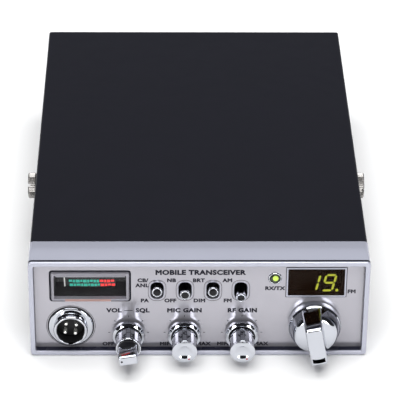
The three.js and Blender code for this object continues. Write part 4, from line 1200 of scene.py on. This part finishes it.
def floor():
    """The plain pale floor."""
    size = 6.0
    steps = 12
    points, faces = [], []
    for j in range(steps + 1):
        for i in range(steps + 1):
            points.append((size * (i / steps - 0.5), size * (j / steps - 0.5), -0.0003))
    for j in range(steps):
        for i in range(steps):
            corner = j * (steps + 1) + i
            faces.append((corner, corner + 1, corner + steps + 2, corner + steps + 1))
    mesh = bpy.data.meshes.new("floor")
    mesh.from_pydata(points, [], faces)
    mesh.materials.append(FLOOR_WHITE)
    ground = bpy.data.objects.new("floor", mesh)
    bpy.context.scene.collection.objects.link(ground)


def softbox(name, place, size, power, colour=(1, 1, 1)):
    """An area light aimed at the middle of the object."""
    light = bpy.data.lights.new(name, "AREA")
    light.shape = "RECTANGLE"
    light.size, light.size_y = size
    light.energy = power
    light.color = colour
    lamp = bpy.data.objects.new(name, light)
    lamp.location = place
    lamp.rotation_mode = "QUATERNION"
    lamp.rotation_quaternion = (Vector((0, 0, 0.03)) - Vector(place)).to_track_quat("-Z", "Y")
    bpy.context.scene.collection.objects.link(lamp)


WORLD_FRONT, WORLD_REAR = 0.03, 0.55  # brightness of the surroundings before and behind the object
WORLD_TINT = (0.88, 0.91, 1.0)


def surroundings():
    """A studio that is dark in front of the object and pale behind it, most of all near the horizon."""
    world = bpy.data.worlds.new("studio")
    bpy.context.scene.world = world
    world.use_nodes = True
    tree = world.node_tree
    background = tree.nodes["Background"]
    rearward = tree.nodes.new("ShaderNodeVectorMath")
    rearward.operation = "DOT_PRODUCT"
    rearward.inputs[1].default_value = (0, 1, -0.8)
    tree.links.new(tree.nodes.new("ShaderNodeTexCoord").outputs["Generated"], rearward.inputs[0])
    remap = tree.nodes.new("ShaderNodeMapRange")
    remap.interpolation_type = "SMOOTHSTEP"
    remap.inputs["From Min"].default_value = -0.35
    remap.inputs["From Max"].default_value = 0.65
    remap.inputs["To Min"].default_value = WORLD_FRONT
    remap.inputs["To Max"].default_value = WORLD_REAR
    tree.links.new(rearward.outputs["Value"], remap.inputs["Value"])
    background.inputs["Color"].default_value = (*WORLD_TINT, 1)
    tree.links.new(remap.outputs["Result"], background.inputs["Strength"])


def lights():
    """The soft studio lights."""
    surroundings()
    softbox("overhead", (0.0, 0.15, 1.3), (1.3, 1.0), 20)
    softbox("high_front", (0.0, -1.1, 1.75), (1.8, 0.8), 22)
    softbox("left", (-0.68, -1.2, 0.26), (0.34, 0.62), 5)
    softbox("right", (0.68, -1.2, 0.26), (0.34, 0.62), 5)


CAMERA_AIM = (-0.06, 0.0, 85.27)
CAMERA_DISTANCE = 1032.0
CAMERA_ANGLES = {"azimuth": -1.07, "elevation": 31.52, "roll": 0.56}
CAMERA_LENS = 206.9


def camera():
    """The camera, in front of the object and above it."""
    data = bpy.data.cameras.new("camera")
    data.lens = CAMERA_LENS
    data.sensor_width = 36
    azimuth, elevation, roll = (math.radians(angle) for angle in CAMERA_ANGLES.values())
    reach = math.cos(elevation)
    back = Vector((math.sin(azimuth) * reach, -math.cos(azimuth) * reach, math.sin(elevation)))
    level = Vector((0, 0, 1)).cross(back).normalized()
    upright = back.cross(level)
    right = math.cos(roll) * level + math.sin(roll) * upright
    up = -math.sin(roll) * level + math.cos(roll) * upright
    spot = at(*CAMERA_AIM) + back * CAMERA_DISTANCE * MM
    viewer = bpy.data.objects.new("camera", data)
    viewer.matrix_world = Matrix.Translation(spot) @ Matrix((right, up, back)).transposed().to_4x4()
    bpy.context.scene.collection.objects.link(viewer)
    bpy.context.scene.camera = viewer
    bpy.context.scene.view_settings.view_transform = "Standard"


camera()
lights()
floor()
front_bezel()
front_panel()
covers()
case_screws()
thumb_screws()
gain_knob("mic_gain")
gain_knob("rf_gain")
squelch_knob()
volume_knob()
channel_knob()
toggle_levers()
toggle_surrounds()
meter()
mic_socket()
display()
status_lamp()
panel_printing()
antenna_socket()
power_inlet()
speaker_jacks()
inner_parts()
